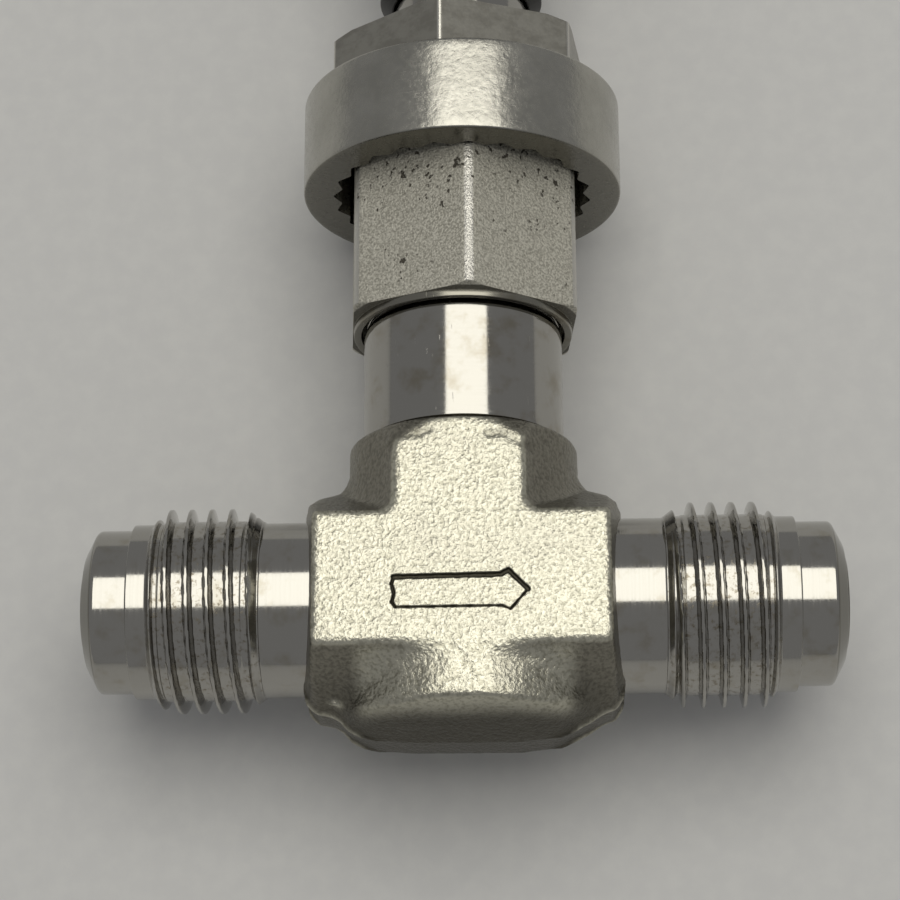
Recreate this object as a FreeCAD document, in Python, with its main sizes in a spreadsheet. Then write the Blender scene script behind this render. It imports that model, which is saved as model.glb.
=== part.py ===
import FreeCAD, Part

import os
import re

import Sketcher

# Bellows-sealed metering valve, in millimetres.
# Origin: where the flow axis (X, flow towards +X) meets the stem axis (Y, handle towards +Y).
# The valve lies on its back, with +Z up.

os.makedirs("parts", exist_ok=True)
doc = FreeCAD.newDocument("metering_valve")
Vector = FreeCAD.Vector
Rotation = FreeCAD.Rotation

# Driving dimensions: name, value, what it is
SIZES = (
    # Flow ends, counted from the end face inward
    ("end_reach", 26.4, "stem axis to the crest of the sealing bead"),
    ("bead_height", 0.2, "sealing bead above the end face"),
    ("bead_ring", 3.25, "mean radius of the sealing bead"),
    ("bead_width", 0.45, "section radius of the sealing bead"),
    ("face_radius", 4.18, "outer radius of the flat end face"),
    ("bevel_length", 0.82, "bevel round the end face"),
    ("nose_radius", 5.716, "plain nose in front of the thread"),
    ("nose_length", 2.3, "plain nose along the flow"),
    ("step_length", 0.2, "chamfer from the nose to the collar"),
    ("relief_radius", 6.1, "collar and relief either side of the thread"),
    ("collar_length", 1.4, "plain collar in front of the thread"),
    ("thread_radius", 7.14, "crest of the end thread, nine sixteenths of an inch over it"),
    ("thread_length", 5.65, "full thread"),
    ("thread_chamfer", 1.0, "chamfer at both ends of the thread"),
    # Flow passages
    ("bore_radius", 2.3, "inlet and outlet bores"),
    ("inlet_past", 1.5, "how far the inlet bore passes the stem axis"),
    ("outlet_end", 4.2, "stem axis to the inner end of the outlet bore"),
    ("orifice_radius", 1.0, "metering orifice"),
    ("floor_height", 5.0, "chamber floor above the flow axis"),
    ("chamber_radius", 4.75, "chamber round the bellows"),
    ("riser_radius", 1.1, "slanting passage from the chamber to the outlet"),
    ("riser_offset", 3.2, "slanting passage at the chamber floor, from the stem axis"),
    ("riser_spread", 2.1, "sideways run of the slanting passage down to the flow axis"),
    # Forging
    ("arm_reach", 11.0, "stem axis to the forging's side face at the parting line"),
    ("half_thickness", 8.05, "front pad from the parting plane"),
    ("side_draft", 0.9, "how far the side faces fall back at the pads"),
    ("arm_pad", 4.25, "half height of the pad on the arms"),
    ("arm_waist", 8.0, "half height of the arms at the parting line"),
    ("parting_land", 1.6, "half height of the upright band left by trimming the flash"),
    ("leg_pad", 4.5, "half width of the pad below the neck"),
    ("leg_waist", 7.9, "half width of the leg's sloping sides at the parting line"),
    ("boss_radius", 8.04, "turned top of the forging"),
    ("boss_top", 11.4, "top of the forging above the flow axis"),
    ("boss_cone_length", 2.2, "turned cone under the forging's top"),
    ("boss_cone_spread", 1.5, "how far the turned cone widens"),
    ("bottom_depth", 10.0, "bottom of the forging at the parting line"),
    ("bottom_draft", 1.25, "how far the bottom rises at the pads"),
    ("foot_waist", 9.0, "half width of the rounded foot at the parting line"),
    ("bottom_flat", 5.3, "half width of the flat bottom"),
    ("bottom_corner", 8.2, "half width of the bottom at its raised corners"),
    ("bottom_rise", 1.4, "how far the bottom's corners rise"),
    ("corner_cut", 1.5, "cut corners of the side faces"),
    ("forging_edge", 0.45, "rounding of the forging's edges"),
    # Neck
    ("neck_radius", 7.13, "turned neck"),
    ("neck_groove", 0.35, "groove between the neck and the forging"),
    ("neck_thread_radius", 6.9, "crest of the neck's thread"),
    ("neck_top", 29.2, "seat of the gasket above the flow axis"),
    ("nut_gap", 0.7, "neck's shoulder to the union nut"),
    # Gasket, weld ring and bellows
    ("gasket_thickness", 0.8, "gasket"),
    ("gasket_inner", 5.0, "inner radius of the gasket"),
    ("gasket_outer", 6.0, "outer radius of the gasket"),
    ("weld_ring_thickness", 1.2, "weld ring"),
    ("bellows_outer", 4.3, "crests of the bellows"),
    ("bellows_inner", 2.9, "roots of the bellows"),
    ("bellows_wall", 0.15, "wall of the bellows"),
    ("bellows_pitch", 1.6, "one wave of the bellows"),
    ("collar_thickness", 1.2, "collar at the bellows' lower end"),
    # Bonnet
    ("flange_radius", 6.4, "bonnet flange"),
    ("flange_thickness", 2.0, "bonnet flange"),
    ("barrel_radius", 5.556, "crest of the barrel's thread, seven sixteenths of an inch over it"),
    ("barrel_undercut", 0.35, "smooth shank inside the union nut, smaller than the thread"),
    ("barrel_rise", 1.2, "barrel above the thin nut"),
    ("spigot_radius", 4.2, "bonnet spigot under the scale sleeve"),
    ("cavity_radius", 3.45, "room for the actuator's cup"),
    ("pin_height", 8.0, "cross pin above the bonnet's foot, valve closed"),
    # Nuts and ring
    ("nut_flats", 15.875, "union nut across its flats, five eighths of an inch"),
    ("nut_length", 16.1, "union nut"),
    ("nut_wall", 3.7, "union nut's top wall over the flange"),
    ("nut_turn", 4.43, "union nut's corner from +Z, in degrees"),
    ("ring_radius", 11.66, "lock ring"),
    ("ring_height", 7.04, "lock ring"),
    ("ring_web", 1.6, "lock ring's web over the union nut"),
    ("ring_bore", 8.93, "lock ring's bore before the notches"),
    ("notch_tip", 9.455, "tips of the 24 notches"),
    ("ring_edge", 0.35, "broken edges of the ring"),
    ("thin_flats", 17.4625, "thin nut across its flats, eleven sixteenths of an inch"),
    ("thin_height", 4.4, "thin nut"),
    ("thin_turn", -7.52, "thin nut's corner from +Z, in degrees"),
    ("nut_chamfer", 0.25, "union nut's chamfered corners, along the axis"),
    ("thin_chamfer", 0.55, "thin nut's chamfered corners, along the axis"),
    # Stem
    ("stem_radius", 1.9, "stem"),
    ("travel", 3.175, "stem lift, five turns of a 40 per inch screw"),
    ("needle_length", 2.5, "needle below the chamber floor"),
    ("needle_end", 0.7, "radius of the needle's end"),
    ("tip_gap", 0.3, "shoulder of the tip above the chamber floor, valve closed"),
    ("tip_radius", 1.5, "shoulder of the tip"),
    ("tip_height", 1.6, "shoulder of the tip"),
    ("tip_spigot_radius", 0.8, "tip's spigot in the stem"),
    ("tip_spigot", 2.4, "tip's spigot in the stem"),
    ("collar_rise", 4.4, "collar above the tip's shoulder"),
    ("head_radius", 1.7, "stem head"),
    ("head_height", 1.0, "stem head"),
    ("head_neck", 1.1, "radius of the neck under the head"),
    ("pin_radius", 0.5, "cross pin"),
    ("pin_half", 3.0, "half length of the cross pin"),
    ("end_play", 0.6, "play beyond the stem's travel"),
    # Actuator, drive nut and scale
    ("cup_radius", 3.2, "actuator's cup"),
    ("cup_wall", 0.8, "cup's top over the ball"),
    ("ball_radius", 0.8, "thrust ball"),
    ("clip_height", 0.5, "retaining ring"),
    ("clip_depth", 0.4, "retaining ring's groove in the cup"),
    ("screw_radius", 2.3, "crest of the actuator's thread"),
    ("drive_nut_length", 4.6, "drive nut"),
    ("sleeve_radius", 4.95, "scale sleeve"),
    # Handle
    ("thimble_gap", 4.0, "thimble above the thin nut, valve closed"),
    ("thimble_radius", 6.1, "thimble"),
    ("thimble_bore", 5.1, "thimble's bore"),
    ("thimble_bevel", 0.6, "bevel at the thimble's lower edge"),
    ("thimble_tuck", 1.6, "how far the thimble reaches into the grip"),
    ("hub_length", 17.4, "handle hub"),
    ("hub_lead", 4.4, "hub's foot below the thimble's top"),
    ("grip_radius", 9.5, "grip"),
    ("grip_edge", 0.8, "chamfers of the grip"),
    ("grip_neck_radius", 7.4, "grip's lower shoulder"),
    ("grip_neck_length", 1.4, "grip's lower shoulder"),
    ("cap_radius", 7.0, "end cap"),
    ("cap_thickness", 1.2, "end cap"),
    ("set_screw_radius", 1.25, "set screws"),
    ("set_screw_height", 6.5, "set screws below the hub's top"),
    ("set_screw_sink", 0.5, "set screws below the grip's surface"),
    # Clearances
    ("running", 0.05, "radial running clearance"),
    ("sliding", 0.1, "radial clearance of guides and threads"),
    ("lift", 0.15, "axial clearance of moving shoulders"),
)

# Heights along the stem axis, worked out from the sizes upward from the gasket's seat
WELD_RING_FOOT = "(neck_top + gasket_thickness)"
BONNET_FOOT = f"({WELD_RING_FOOT} + weld_ring_thickness)"
NUT_TOP = f"({BONNET_FOOT} + flange_thickness + nut_wall)"
NUT_FOOT = f"({NUT_TOP} - nut_length)"
RING_TOP = f"({NUT_TOP} + ring_web)"
RING_FOOT = f"({RING_TOP} - ring_height)"
THIN_TOP = f"({RING_TOP} + thin_height)"
THIMBLE_FOOT = f"({THIN_TOP} + thimble_gap)"
BARREL_TOP = f"({THIN_TOP} + barrel_rise)"
PIN_LEVEL = f"({BONNET_FOOT} + pin_height)"
GUIDE_TOP = f"({PIN_LEVEL} + travel + pin_radius + end_play)"
CUP_FOOT = f"({GUIDE_TOP} + end_play)"
CLIP_FOOT = f"({CUP_FOOT} + lift)"
HEAD_FOOT = f"({CLIP_FOOT} + clip_height + lift)"
HEAD_TOP = f"({HEAD_FOOT} + head_height)"
BALL_LEVEL = f"({HEAD_TOP} + running + ball_radius)"
CUP_TOP = f"({BALL_LEVEL} + ball_radius + cup_wall)"
DRIVE_NUT_FOOT = f"({CUP_TOP} + travel + end_play)"
SPIGOT_TOP = f"({DRIVE_NUT_FOOT} + drive_nut_length)"
HUB_FOOT = f"({SPIGOT_TOP} + end_play)"
HUB_TOP = f"({HUB_FOOT} + hub_length)"
THIMBLE_TOP = f"({HUB_FOOT} + hub_lead)"
GRIP_FOOT = f"({THIMBLE_TOP} - thimble_tuck)"
TIP_FOOT = "(floor_height + tip_gap)"
STEM_FOOT = f"({TIP_FOOT} + tip_height)"
COLLAR_FOOT = f"({TIP_FOOT} + tip_height + collar_rise)"
COLLAR_TOP = f"({COLLAR_FOOT} + collar_thickness)"

# The flow ends, counted from the bead's crest inward
FACE = "(end_reach - bead_height)"
NOSE_START = f"({FACE} - bevel_length)"
STEP_OUTER = f"({NOSE_START} - nose_length)"
STEP_INNER = f"({STEP_OUTER} - step_length)"
THREAD_START = f"({STEP_INNER} - collar_length)"
THREAD_END = f"({THREAD_START} - thread_length - 2 * thread_chamfer)"

sheet = doc.addObject("Spreadsheet::Sheet", "dims")
for row, (name, size, note) in enumerate(SIZES, start=1):
    sheet.set(f"A{row}", name)
    sheet.set(f"B{row}", str(size))
    sheet.setAlias(f"B{row}", name)
    sheet.set(f"C{row}", note)
doc.recompute()

SIZE_NAMES = {name for name, size, note in SIZES}
WORD = re.compile(r"[A-Za-z_]\w*")


def bound(text):
    """The text with every size name pointed at its cell in the sheet."""
    return WORD.sub(lambda word: f"dims.{word[0]}" if word[0] in SIZE_NAMES else word[0], text)


def value(text):
    """The number that an expression of size names gives."""
    result = sheet.evalExpression(text)
    return float(getattr(result, "Value", result))


def bind(thing, **texts):
    """Bind properties of a document object to expressions of size names."""
    for name, text in texts.items():
        thing.setExpression(name, bound(text))


def place(thing, x="0", y="0", z="0", axis=Vector(0, 1, 0), angle=None):
    """Bind a position, and a turn about a fixed axis."""
    thing.Placement = FreeCAD.Placement(Vector(), Rotation(axis, 0 if angle is None else 1))
    for name, text in (("x", x), ("y", y), ("z", z)):
        thing.setExpression(f"Placement.Base.{name}", bound(text))
    if angle is not None:
        thing.setExpression("Placement.Rotation.Angle", bound(angle))


# Sketches

def draw(sketch, corners):
    """Closed outline through the corners, each held to the sheet by its two distances from the origin."""
    points = [Vector(value(across), value(up), 0) for across, up in corners]
    count = len(points)
    sketch.addGeometry([Part.LineSegment(points[i], points[(i + 1) % count]) for i in range(count)], False)
    sketch.addConstraint([Sketcher.Constraint("Coincident", i, 2, (i + 1) % count, 1) for i in range(count)])
    for i, (across, up) in enumerate(corners):
        for kind, text in (("DistanceX", across), ("DistanceY", up)):
            index = sketch.addConstraint(Sketcher.Constraint(kind, -1, 1, i, 1, value(text)))
            sketch.setExpression(f"Constraints[{index}]", bound(text))
    return sketch


def origin_part(body, role):
    """A plane or axis of the body's own origin."""
    return next(part for part in body.Origin.OriginFeatures if part.Role == role)


def body_sketch(body, name, role, corners):
    """Outline on one of the body's origin planes."""
    sketch = body.newObject("Sketcher::SketchObject", name)
    sketch.AttachmentSupport = (origin_part(body, role), [""])
    sketch.MapMode = "FlatFace"
    return draw(sketch, corners)


def free_sketch(name, turn, corners, **shift):
    """Outline outside any body, turned onto its plane."""
    sketch = doc.addObject("Sketcher::SketchObject", name)
    sketch.Placement = FreeCAD.Placement(Vector(), turn)
    for axis, text in shift.items():
        sketch.setExpression(f"Placement.Base.{axis}", bound(text))
    return draw(sketch, corners)


# Solids turned about the stem axis and their features

def new_body(label, foot):
    """Body whose local zero height stands at the given height of the stem axis."""
    body = doc.addObject("PartDesign::Body", label)
    place(body, y=foot)
    return body


def turn(body, name, corners):
    """Revolve a half section, given as radius and height, about the stem axis."""
    feature = body.newObject("PartDesign::Revolution", name)
    feature.Profile = body_sketch(body, f"{name}_section", "XY_Plane", corners)
    feature.ReferenceAxis = (origin_part(body, "Y_Axis"), [""])
    feature.Angle = 360
    return feature


def groove(body, name, corners):
    """Cut a half section, given as radius and height, round the stem axis."""
    feature = body.newObject("PartDesign::Groove", name)
    feature.Profile = body_sketch(body, f"{name}_section", "XY_Plane", corners)
    feature.ReferenceAxis = (origin_part(body, "Y_Axis"), [""])
    feature.Angle = 360
    return feature


def turned(label, foot, corners):
    """Piece that is a single turned section."""
    body = new_body(label, foot)
    turn(body, f"{label}_turned", corners)
    return body


def tube(label, foot, height, inner, outer):
    """Piece that is a plain tube."""
    return turned(label, foot, [(inner, "0"), (outer, "0"), (outer, height), (inner, height)])


def hexagon(flats):
    """Corners of a hexagon, one of them towards +Z, as X and Z."""
    corner = f"{flats} / 2 / cos(30 deg)"
    return [(f"{corner} * sin({60 * i} deg)", f"{corner} * cos({60 * i} deg)") for i in range(6)]


def hex_pad(body, name, flats, height):
    """Hexagonal bar that stands on the body's zero height."""
    feature = body.newObject("PartDesign::Pad", name)
    feature.Profile = body_sketch(body, f"{name}_outline", "XZ_Plane", hexagon(flats))
    feature.Reversed = True
    bind(feature, Length=height)
    return feature


def corner_groove(body, name, flats, chamfer, level, up):
    """Chamfer the corners of a hexagon at one of its ends."""
    corner = f"({flats} / 2 / cos(30 deg))"
    spread = f"2 * {chamfer}"
    groove(body, name, [
        (f"{corner} - {spread}", level),
        (f"{corner} + {spread}", level),
        (f"{corner} + {spread}", f"{level} + {up} * {spread}"),
    ])


# Valve body

def parting_half(pad, waist):
    """Right half of a bar's section: flat pad, eased edge, sloping side and the band at the parting line."""
    lean = f"({waist} - {pad}) / (half_thickness - parting_land)"
    upper = [
        (f"{pad} - forging_edge", "half_thickness"),
        (f"{pad} + {lean} * forging_edge", "half_thickness - forging_edge"),
        (waist, "parting_land"),
    ]
    return upper + [(across, f"-({up})") for across, up in reversed(upper)]


def bar(name, turn_to, pad, waist, ahead, behind, pad_on_height=False):
    """Forged bar with pads front and back, along the normal of its section."""
    half = parting_half(pad, waist)
    corners = half + [(f"-({across})", up) for across, up in reversed(half)]
    if pad_on_height:
        corners = [(up, across) for across, up in corners]
    solid = doc.addObject("Part::Extrusion", name)
    solid.Base = free_sketch(f"{name}_section", turn_to, corners)
    solid.DirMode = "Normal"
    solid.Solid = True
    bind(solid, LengthFwd=ahead, LengthRev=behind)
    return solid


def outline_at(name, depth, draft, ease):
    """The forging's outline at one depth, as seen from the front, drawn in by a share of the draft."""
    side = f"(arm_reach - {draft} * side_draft - {ease})"
    bottom = f"(bottom_depth - {draft} * bottom_draft - {ease})"
    right = [
        ("bottom_flat", f"-{bottom}"),
        ("bottom_corner", f"bottom_rise - {bottom}"),
        (f"{side} - corner_cut / 2", "-arm_waist"),
        (side, "corner_cut - arm_waist"),
        (side, "arm_waist - corner_cut"),
        (f"{side} - corner_cut", "arm_waist + corner_cut"),
        (f"{side} - corner_cut", "boss_top"),
    ]
    left = [(f"-({across})", up) for across, up in reversed(right)]
    return free_sketch(name, Rotation(), right + left, z=depth)


def forging():
    """T-shaped forging: sloping arm and leg, rounded foot, trimmed to an outline with draft."""
    across = Rotation(Vector(1, 1, 1), 120)
    along = Rotation(Vector(1, 1, 1), -120)
    arm = bar("arm", across, "arm_pad", "arm_waist", "arm_reach", "arm_reach")
    leg = bar("leg", along, "leg_pad", "leg_waist", "boss_top", "bottom_depth", pad_on_height=True)
    boss = rod("boss", "boss_radius", "boss_top", axis=Vector(1, 0, 0), angle="-90")
    cross = together("cross", [arm, leg, boss] + foot())
    cross.Refine = True

    drafted = doc.addObject("Part::Loft", "drafted_outline")
    edge_level = "half_thickness - forging_edge"
    edge_draft = "1 - forging_edge / (half_thickness - parting_land)"
    drafted.Sections = [
        outline_at("outline_back", "-half_thickness", "1", "forging_edge"),
        outline_at("outline_back_edge", f"-({edge_level})", edge_draft, "0"),
        outline_at("outline_band_back", "-parting_land", "0", "0"),
        outline_at("outline_band_front", "parting_land", "0", "0"),
        outline_at("outline_front_edge", edge_level, edge_draft, "0"),
        outline_at("outline_front", "half_thickness", "1", "forging_edge"),
    ]
    drafted.Solid = True
    drafted.Ruled = True
    trimmed = doc.addObject("Part::MultiCommon", "trimmed")
    trimmed.Shapes = [cross, drafted]

    clear = "arm_reach + end_reach"
    cone = spun("boss_cone", [
        ("boss_radius", "boss_top"),
        ("boss_radius + boss_cone_spread", "boss_top - boss_cone_length"),
        (clear, "boss_top - boss_cone_length"),
        (clear, "boss_top + boss_cone_length"),
        ("boss_radius", "boss_top + boss_cone_length"),
    ])
    forged = doc.addObject("Part::Cut", "forged")
    forged.Base = trimmed
    forged.Tool = cone
    return forged


def foot():
    """Foot below the arms: a slab flush with the pads between two rods that round its sides."""
    offset = "(foot_waist - half_thickness)"
    slab = doc.addObject("Part::Box", "foot_slab")
    bind(slab, Length=f"2 * {offset}", Width="bottom_depth", Height="2 * half_thickness")
    place(slab, x=f"-{offset}", y="-bottom_depth", z="-half_thickness")
    upright = {"y": "-bottom_depth", "axis": Vector(1, 0, 0), "angle": "-90"}
    return [
        slab,
        rod("foot_left", "half_thickness", "bottom_depth", x=f"-{offset}", **upright),
        rod("foot_right", "half_thickness", "bottom_depth", x=offset, **upright),
    ]


def together(name, solids):
    """Fuse solids."""
    fused = doc.addObject("Part::MultiFuse", name)
    fused.Shapes = solids
    return fused


def rod(name, radius, length, **where):
    """Plain cylinder along its own Z axis."""
    cylinder = doc.addObject("Part::Cylinder", name)
    bind(cylinder, Radius=radius, Height=length)
    place(cylinder, **where)
    return cylinder


def spun(name, corners, axis=Vector(0, 1, 0)):
    """Solid turned about a row axis."""
    solid = doc.addObject("Part::Revolution", name)
    solid.Source = free_sketch(f"{name}_section", Rotation(), corners)
    solid.Axis = axis
    solid.Angle = 360
    solid.Solid = True
    return solid


def flow_end():
    """Turned end along +X: thread, plain nose, bevel and flat face with a sealing bead."""
    shaft = spun("end_shaft", [
        ("0", "0"),
        (FACE, "0"),
        (FACE, "face_radius"),
        (NOSE_START, "nose_radius"),
        (STEP_OUTER, "nose_radius"),
        (STEP_INNER, "relief_radius"),
        (THREAD_START, "relief_radius"),
        (f"{THREAD_START} - thread_chamfer", "thread_radius"),
        (f"{THREAD_END} + thread_chamfer", "thread_radius"),
        (THREAD_END, "relief_radius"),
        ("0", "relief_radius"),
    ], Vector(1, 0, 0))
    bead = doc.addObject("Part::Torus", "end_bead")
    bind(bead, Radius1="bead_ring", Radius2="bead_width")
    place(bead, x="end_reach - bead_width", angle="90")
    return together("outlet_shaft", [shaft, bead])


def neck():
    """Turned neck with a groove at its foot and the union nut's thread at its top."""
    return spun("neck", [
        ("0", "0"),
        ("neck_thread_radius", "0"),
        ("neck_thread_radius", "boss_top + neck_groove"),
        ("neck_radius", "boss_top + neck_groove"),
        ("neck_radius", f"{NUT_FOOT} - nut_gap"),
        ("neck_thread_radius", f"{NUT_FOOT} - nut_gap"),
        ("neck_thread_radius", "neck_top - neck_groove"),
        ("neck_thread_radius - neck_groove", "neck_top"),
        ("0", "neck_top"),
    ])


def passages():
    """Inlet, orifice, chamber, slanting riser and outlet."""
    stemward = {"axis": Vector(1, 0, 0), "angle": "-90"}
    inlet = rod("inlet_bore", "bore_radius", "end_reach + inlet_past", x="-end_reach", angle="90")
    outlet = rod("outlet_bore", "bore_radius", "end_reach - outlet_end", x="outlet_end", angle="90")
    orifice = rod("orifice", "orifice_radius", "floor_height", **stemward)
    chamber = rod("chamber", "chamber_radius", "neck_top", y="floor_height", **stemward)
    lean = "atan(riser_spread / floor_height)"
    riser = rod("riser", "riser_radius", f"(floor_height + riser_radius) / cos({lean})",
                x="riser_offset + riser_spread", angle="90")
    bind(riser, **{
        "Placement.Rotation.Axis.x": f"-cos({lean})",
        "Placement.Rotation.Axis.y": f"-sin({lean})",
    })
    return together("passages", [inlet, outlet, orifice, chamber, riser])


def valve_body():
    """Forging with both flow ends and the neck, bored out."""
    outlet = flow_end()
    inlet = doc.addObject("Part::Mirroring", "inlet_shaft")
    inlet.Source = outlet
    inlet.Normal = Vector(1, 0, 0)
    solid = together("body_solid", [forging(), outlet, inlet, neck()])
    solid.Refine = True
    body = doc.addObject("Part::Cut", "valve_body")
    body.Base = solid
    body.Tool = passages()
    return body


# Seal and bonnet

def bonnet_gasket():
    return tube("bonnet_gasket", "neck_top", "gasket_thickness", "gasket_inner", "gasket_outer")


def weld_ring():
    """Ring clamped under the bonnet, with a lip for the bellows."""
    return turned("weld_ring", WELD_RING_FOOT, [
        ("stem_radius + sliding", "-gasket_thickness"),
        ("bellows_inner", "-gasket_thickness"),
        ("bellows_inner", "0"),
        ("flange_radius", "0"),
        ("flange_radius", "weld_ring_thickness"),
        ("stem_radius + sliding", "weld_ring_thickness"),
    ])


def bellows():
    """Folded tube between the collar on the stem and the weld ring."""
    length = value(f"{WELD_RING_FOOT} - {COLLAR_TOP}")
    waves = max(1, int(length / value("bellows_pitch")))
    wave = f"({WELD_RING_FOOT} - {COLLAR_TOP}) / {waves}"
    inner = []
    outer = []
    for i in range(waves):
        root = f"{i} * {wave}"
        crest = f"({i} + 0.5) * {wave}"
        inner += [("bellows_inner", root), ("bellows_outer - bellows_wall", crest)]
        outer += [("bellows_inner + bellows_wall", root), ("bellows_outer", crest)]
    inner.append(("bellows_inner", f"{waves} * {wave}"))
    outer.append(("bellows_inner + bellows_wall", f"{waves} * {wave}"))
    return turned("bellows", COLLAR_TOP, inner + outer[::-1])


def bonnet():
    """Flange, shank, threaded barrel and spigot in one turned piece, with a slot for the cross pin."""
    body = new_body("bonnet", BONNET_FOOT)
    shank_top = f"{NUT_TOP} - {BONNET_FOOT}"
    barrel_top = f"{BARREL_TOP} - {BONNET_FOOT}"
    guide_top = f"{GUIDE_TOP} - {BONNET_FOOT}"
    top = f"{SPIGOT_TOP} - {BONNET_FOOT}"
    turn(body, "bonnet_turned", [
        ("stem_radius + sliding", "0"),
        ("flange_radius", "0"),
        ("flange_radius", "flange_thickness"),
        ("barrel_radius - barrel_undercut", "flange_thickness"),
        ("barrel_radius - barrel_undercut", shank_top),
        ("barrel_radius", shank_top),
        ("barrel_radius", f"{barrel_top} - barrel_undercut"),
        ("barrel_radius - barrel_undercut", barrel_top),
        ("spigot_radius", barrel_top),
        ("spigot_radius", top),
        ("cavity_radius", top),
        ("cavity_radius", guide_top),
        ("stem_radius + sliding", guide_top),
    ])
    slot = body.newObject("PartDesign::Pocket", "pin_slot")
    half = "(pin_radius + running)"
    slot.Profile = body_sketch(body, "pin_slot_outline", "XY_Plane", [
        (f"-{half}", f"pin_height - {half}"),
        (half, f"pin_height - {half}"),
        (half, guide_top),
        (f"-{half}", guide_top),
    ])
    slot.Midplane = True
    bind(slot, Length="2 * (pin_half + sliding)")
    return body


def union_nut():
    """Long hexagon, open below over the neck's thread, with a hole in its top wall for the bonnet."""
    body = new_body("union_nut", NUT_FOOT)
    place(body, y=NUT_FOOT, angle="nut_turn")
    hex_pad(body, "union_hex", "nut_flats", "nut_length")
    mouth = "neck_thread_radius + sliding"
    hole = "barrel_radius + sliding"
    wall = "nut_length - nut_wall"
    groove(body, "union_bore", [
        ("0", "0"), (mouth, "0"), (mouth, wall), (hole, wall), (hole, "nut_length"), ("0", "nut_length"),
    ])
    corner_groove(body, "union_foot_chamfer", "nut_flats", "nut_chamfer", "0", "1")
    corner_groove(body, "union_top_chamfer", "nut_flats", "nut_chamfer", "nut_length", "-1")
    return body


def lock_ring():
    """Ring with a thin web over the nut and a bore of 24 notches for the nut's corners."""
    body = new_body("lock_ring", RING_FOOT)
    place(body, y=RING_FOOT, angle="nut_turn")
    web = "ring_height - ring_web"
    hole = "barrel_radius + sliding"
    turn(body, "ring_turned", [
        (hole, web),
        ("ring_bore", web),
        ("ring_bore", "0"),
        ("ring_radius - ring_edge", "0"),
        ("ring_radius", "ring_edge"),
        ("ring_radius", "ring_height - ring_edge"),
        ("ring_radius - ring_edge", "ring_height"),
        (hole, "ring_height"),
    ])
    socket = body.newObject("PartDesign::Pocket", "hex_socket")
    across_flats = "(2 * notch_tip * cos(30 deg))"
    socket.Profile = body_sketch(body, "hex_socket_outline", "XZ_Plane", hexagon(across_flats))
    bind(socket, Length=web)
    notches = body.newObject("PartDesign::PolarPattern", "notches")
    notches.Originals = [socket]
    notches.Axis = (origin_part(body, "Y_Axis"), [""])
    notches.Angle = 45
    notches.Occurrences = 4
    body.Tip = notches
    return body


def panel_nut():
    """Thin hexagon on the bonnet's barrel."""
    body = new_body("panel_nut", RING_TOP)
    place(body, y=RING_TOP, angle="thin_turn")
    hex_pad(body, "thin_hex", "thin_flats", "thin_height")
    hole = "barrel_radius + running"
    groove(body, "thin_bore", [("0", "0"), (hole, "0"), (hole, "thin_height"), ("0", "thin_height")])
    corner_groove(body, "thin_top_chamfer", "thin_flats", "thin_chamfer", "thin_height", "-1")
    return body


def scale_sleeve():
    return tube("scale_sleeve", BARREL_TOP, f"{SPIGOT_TOP} - {BARREL_TOP}", "spigot_radius", "sleeve_radius")


def drive_nut():
    return tube("drive_nut", DRIVE_NUT_FOOT, "drive_nut_length", "screw_radius + running", "cavity_radius")


# Stem

def stem_tip():
    """Metering needle with a shoulder and a spigot in the stem."""
    return turned("stem_tip", TIP_FOOT, [
        ("0", "-(needle_length + tip_gap)"),
        ("needle_end", "-(needle_length + tip_gap)"),
        ("orifice_radius - running", "0"),
        ("tip_radius", "0"),
        ("tip_radius", "tip_height"),
        ("tip_spigot_radius", "tip_height"),
        ("tip_spigot_radius", "tip_height + tip_spigot"),
        ("0", "tip_height + tip_spigot"),
    ])


def stem():
    """Sliding stem with a headed top, a hole for the tip below and a cross hole for the pin."""
    body = new_body("stem", STEM_FOOT)
    turn(body, "stem_turned", [
        ("0", "tip_spigot"),
        ("tip_spigot_radius", "tip_spigot"),
        ("tip_spigot_radius", "0"),
        ("stem_radius", "0"),
        ("stem_radius", f"{CUP_FOOT} - {STEM_FOOT}"),
        ("head_neck", f"{CUP_FOOT} - {STEM_FOOT}"),
        ("head_neck", f"{HEAD_FOOT} - {STEM_FOOT}"),
        ("head_radius", f"{HEAD_FOOT} - {STEM_FOOT}"),
        ("head_radius", f"{HEAD_TOP} - {STEM_FOOT}"),
        ("0", f"{HEAD_TOP} - {STEM_FOOT}"),
    ])
    hole = body.newObject("PartDesign::SubtractiveCylinder", "pin_hole")
    bind(hole, Radius="pin_radius", Height="4 * stem_radius")
    place(hole, y=f"{PIN_LEVEL} - {STEM_FOOT}", z="-2 * stem_radius")
    return body


def bellows_collar():
    return tube("bellows_collar", COLLAR_FOOT, "collar_thickness", "stem_radius", "bellows_outer")


def anti_rotation_pin():
    return rod("anti_rotation_pin", "pin_radius", "2 * pin_half", y=PIN_LEVEL, z="-pin_half")


# Actuator and handle

def retaining_ring():
    groove_radius = "head_radius + sliding + clip_depth"
    return tube("retaining_ring", CLIP_FOOT, "clip_height", "head_neck + sliding", groove_radius)


def thrust_ball():
    ball = doc.addObject("Part::Sphere", "thrust_ball")
    bind(ball, Radius="ball_radius")
    place(ball, y=BALL_LEVEL)
    return ball


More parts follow.
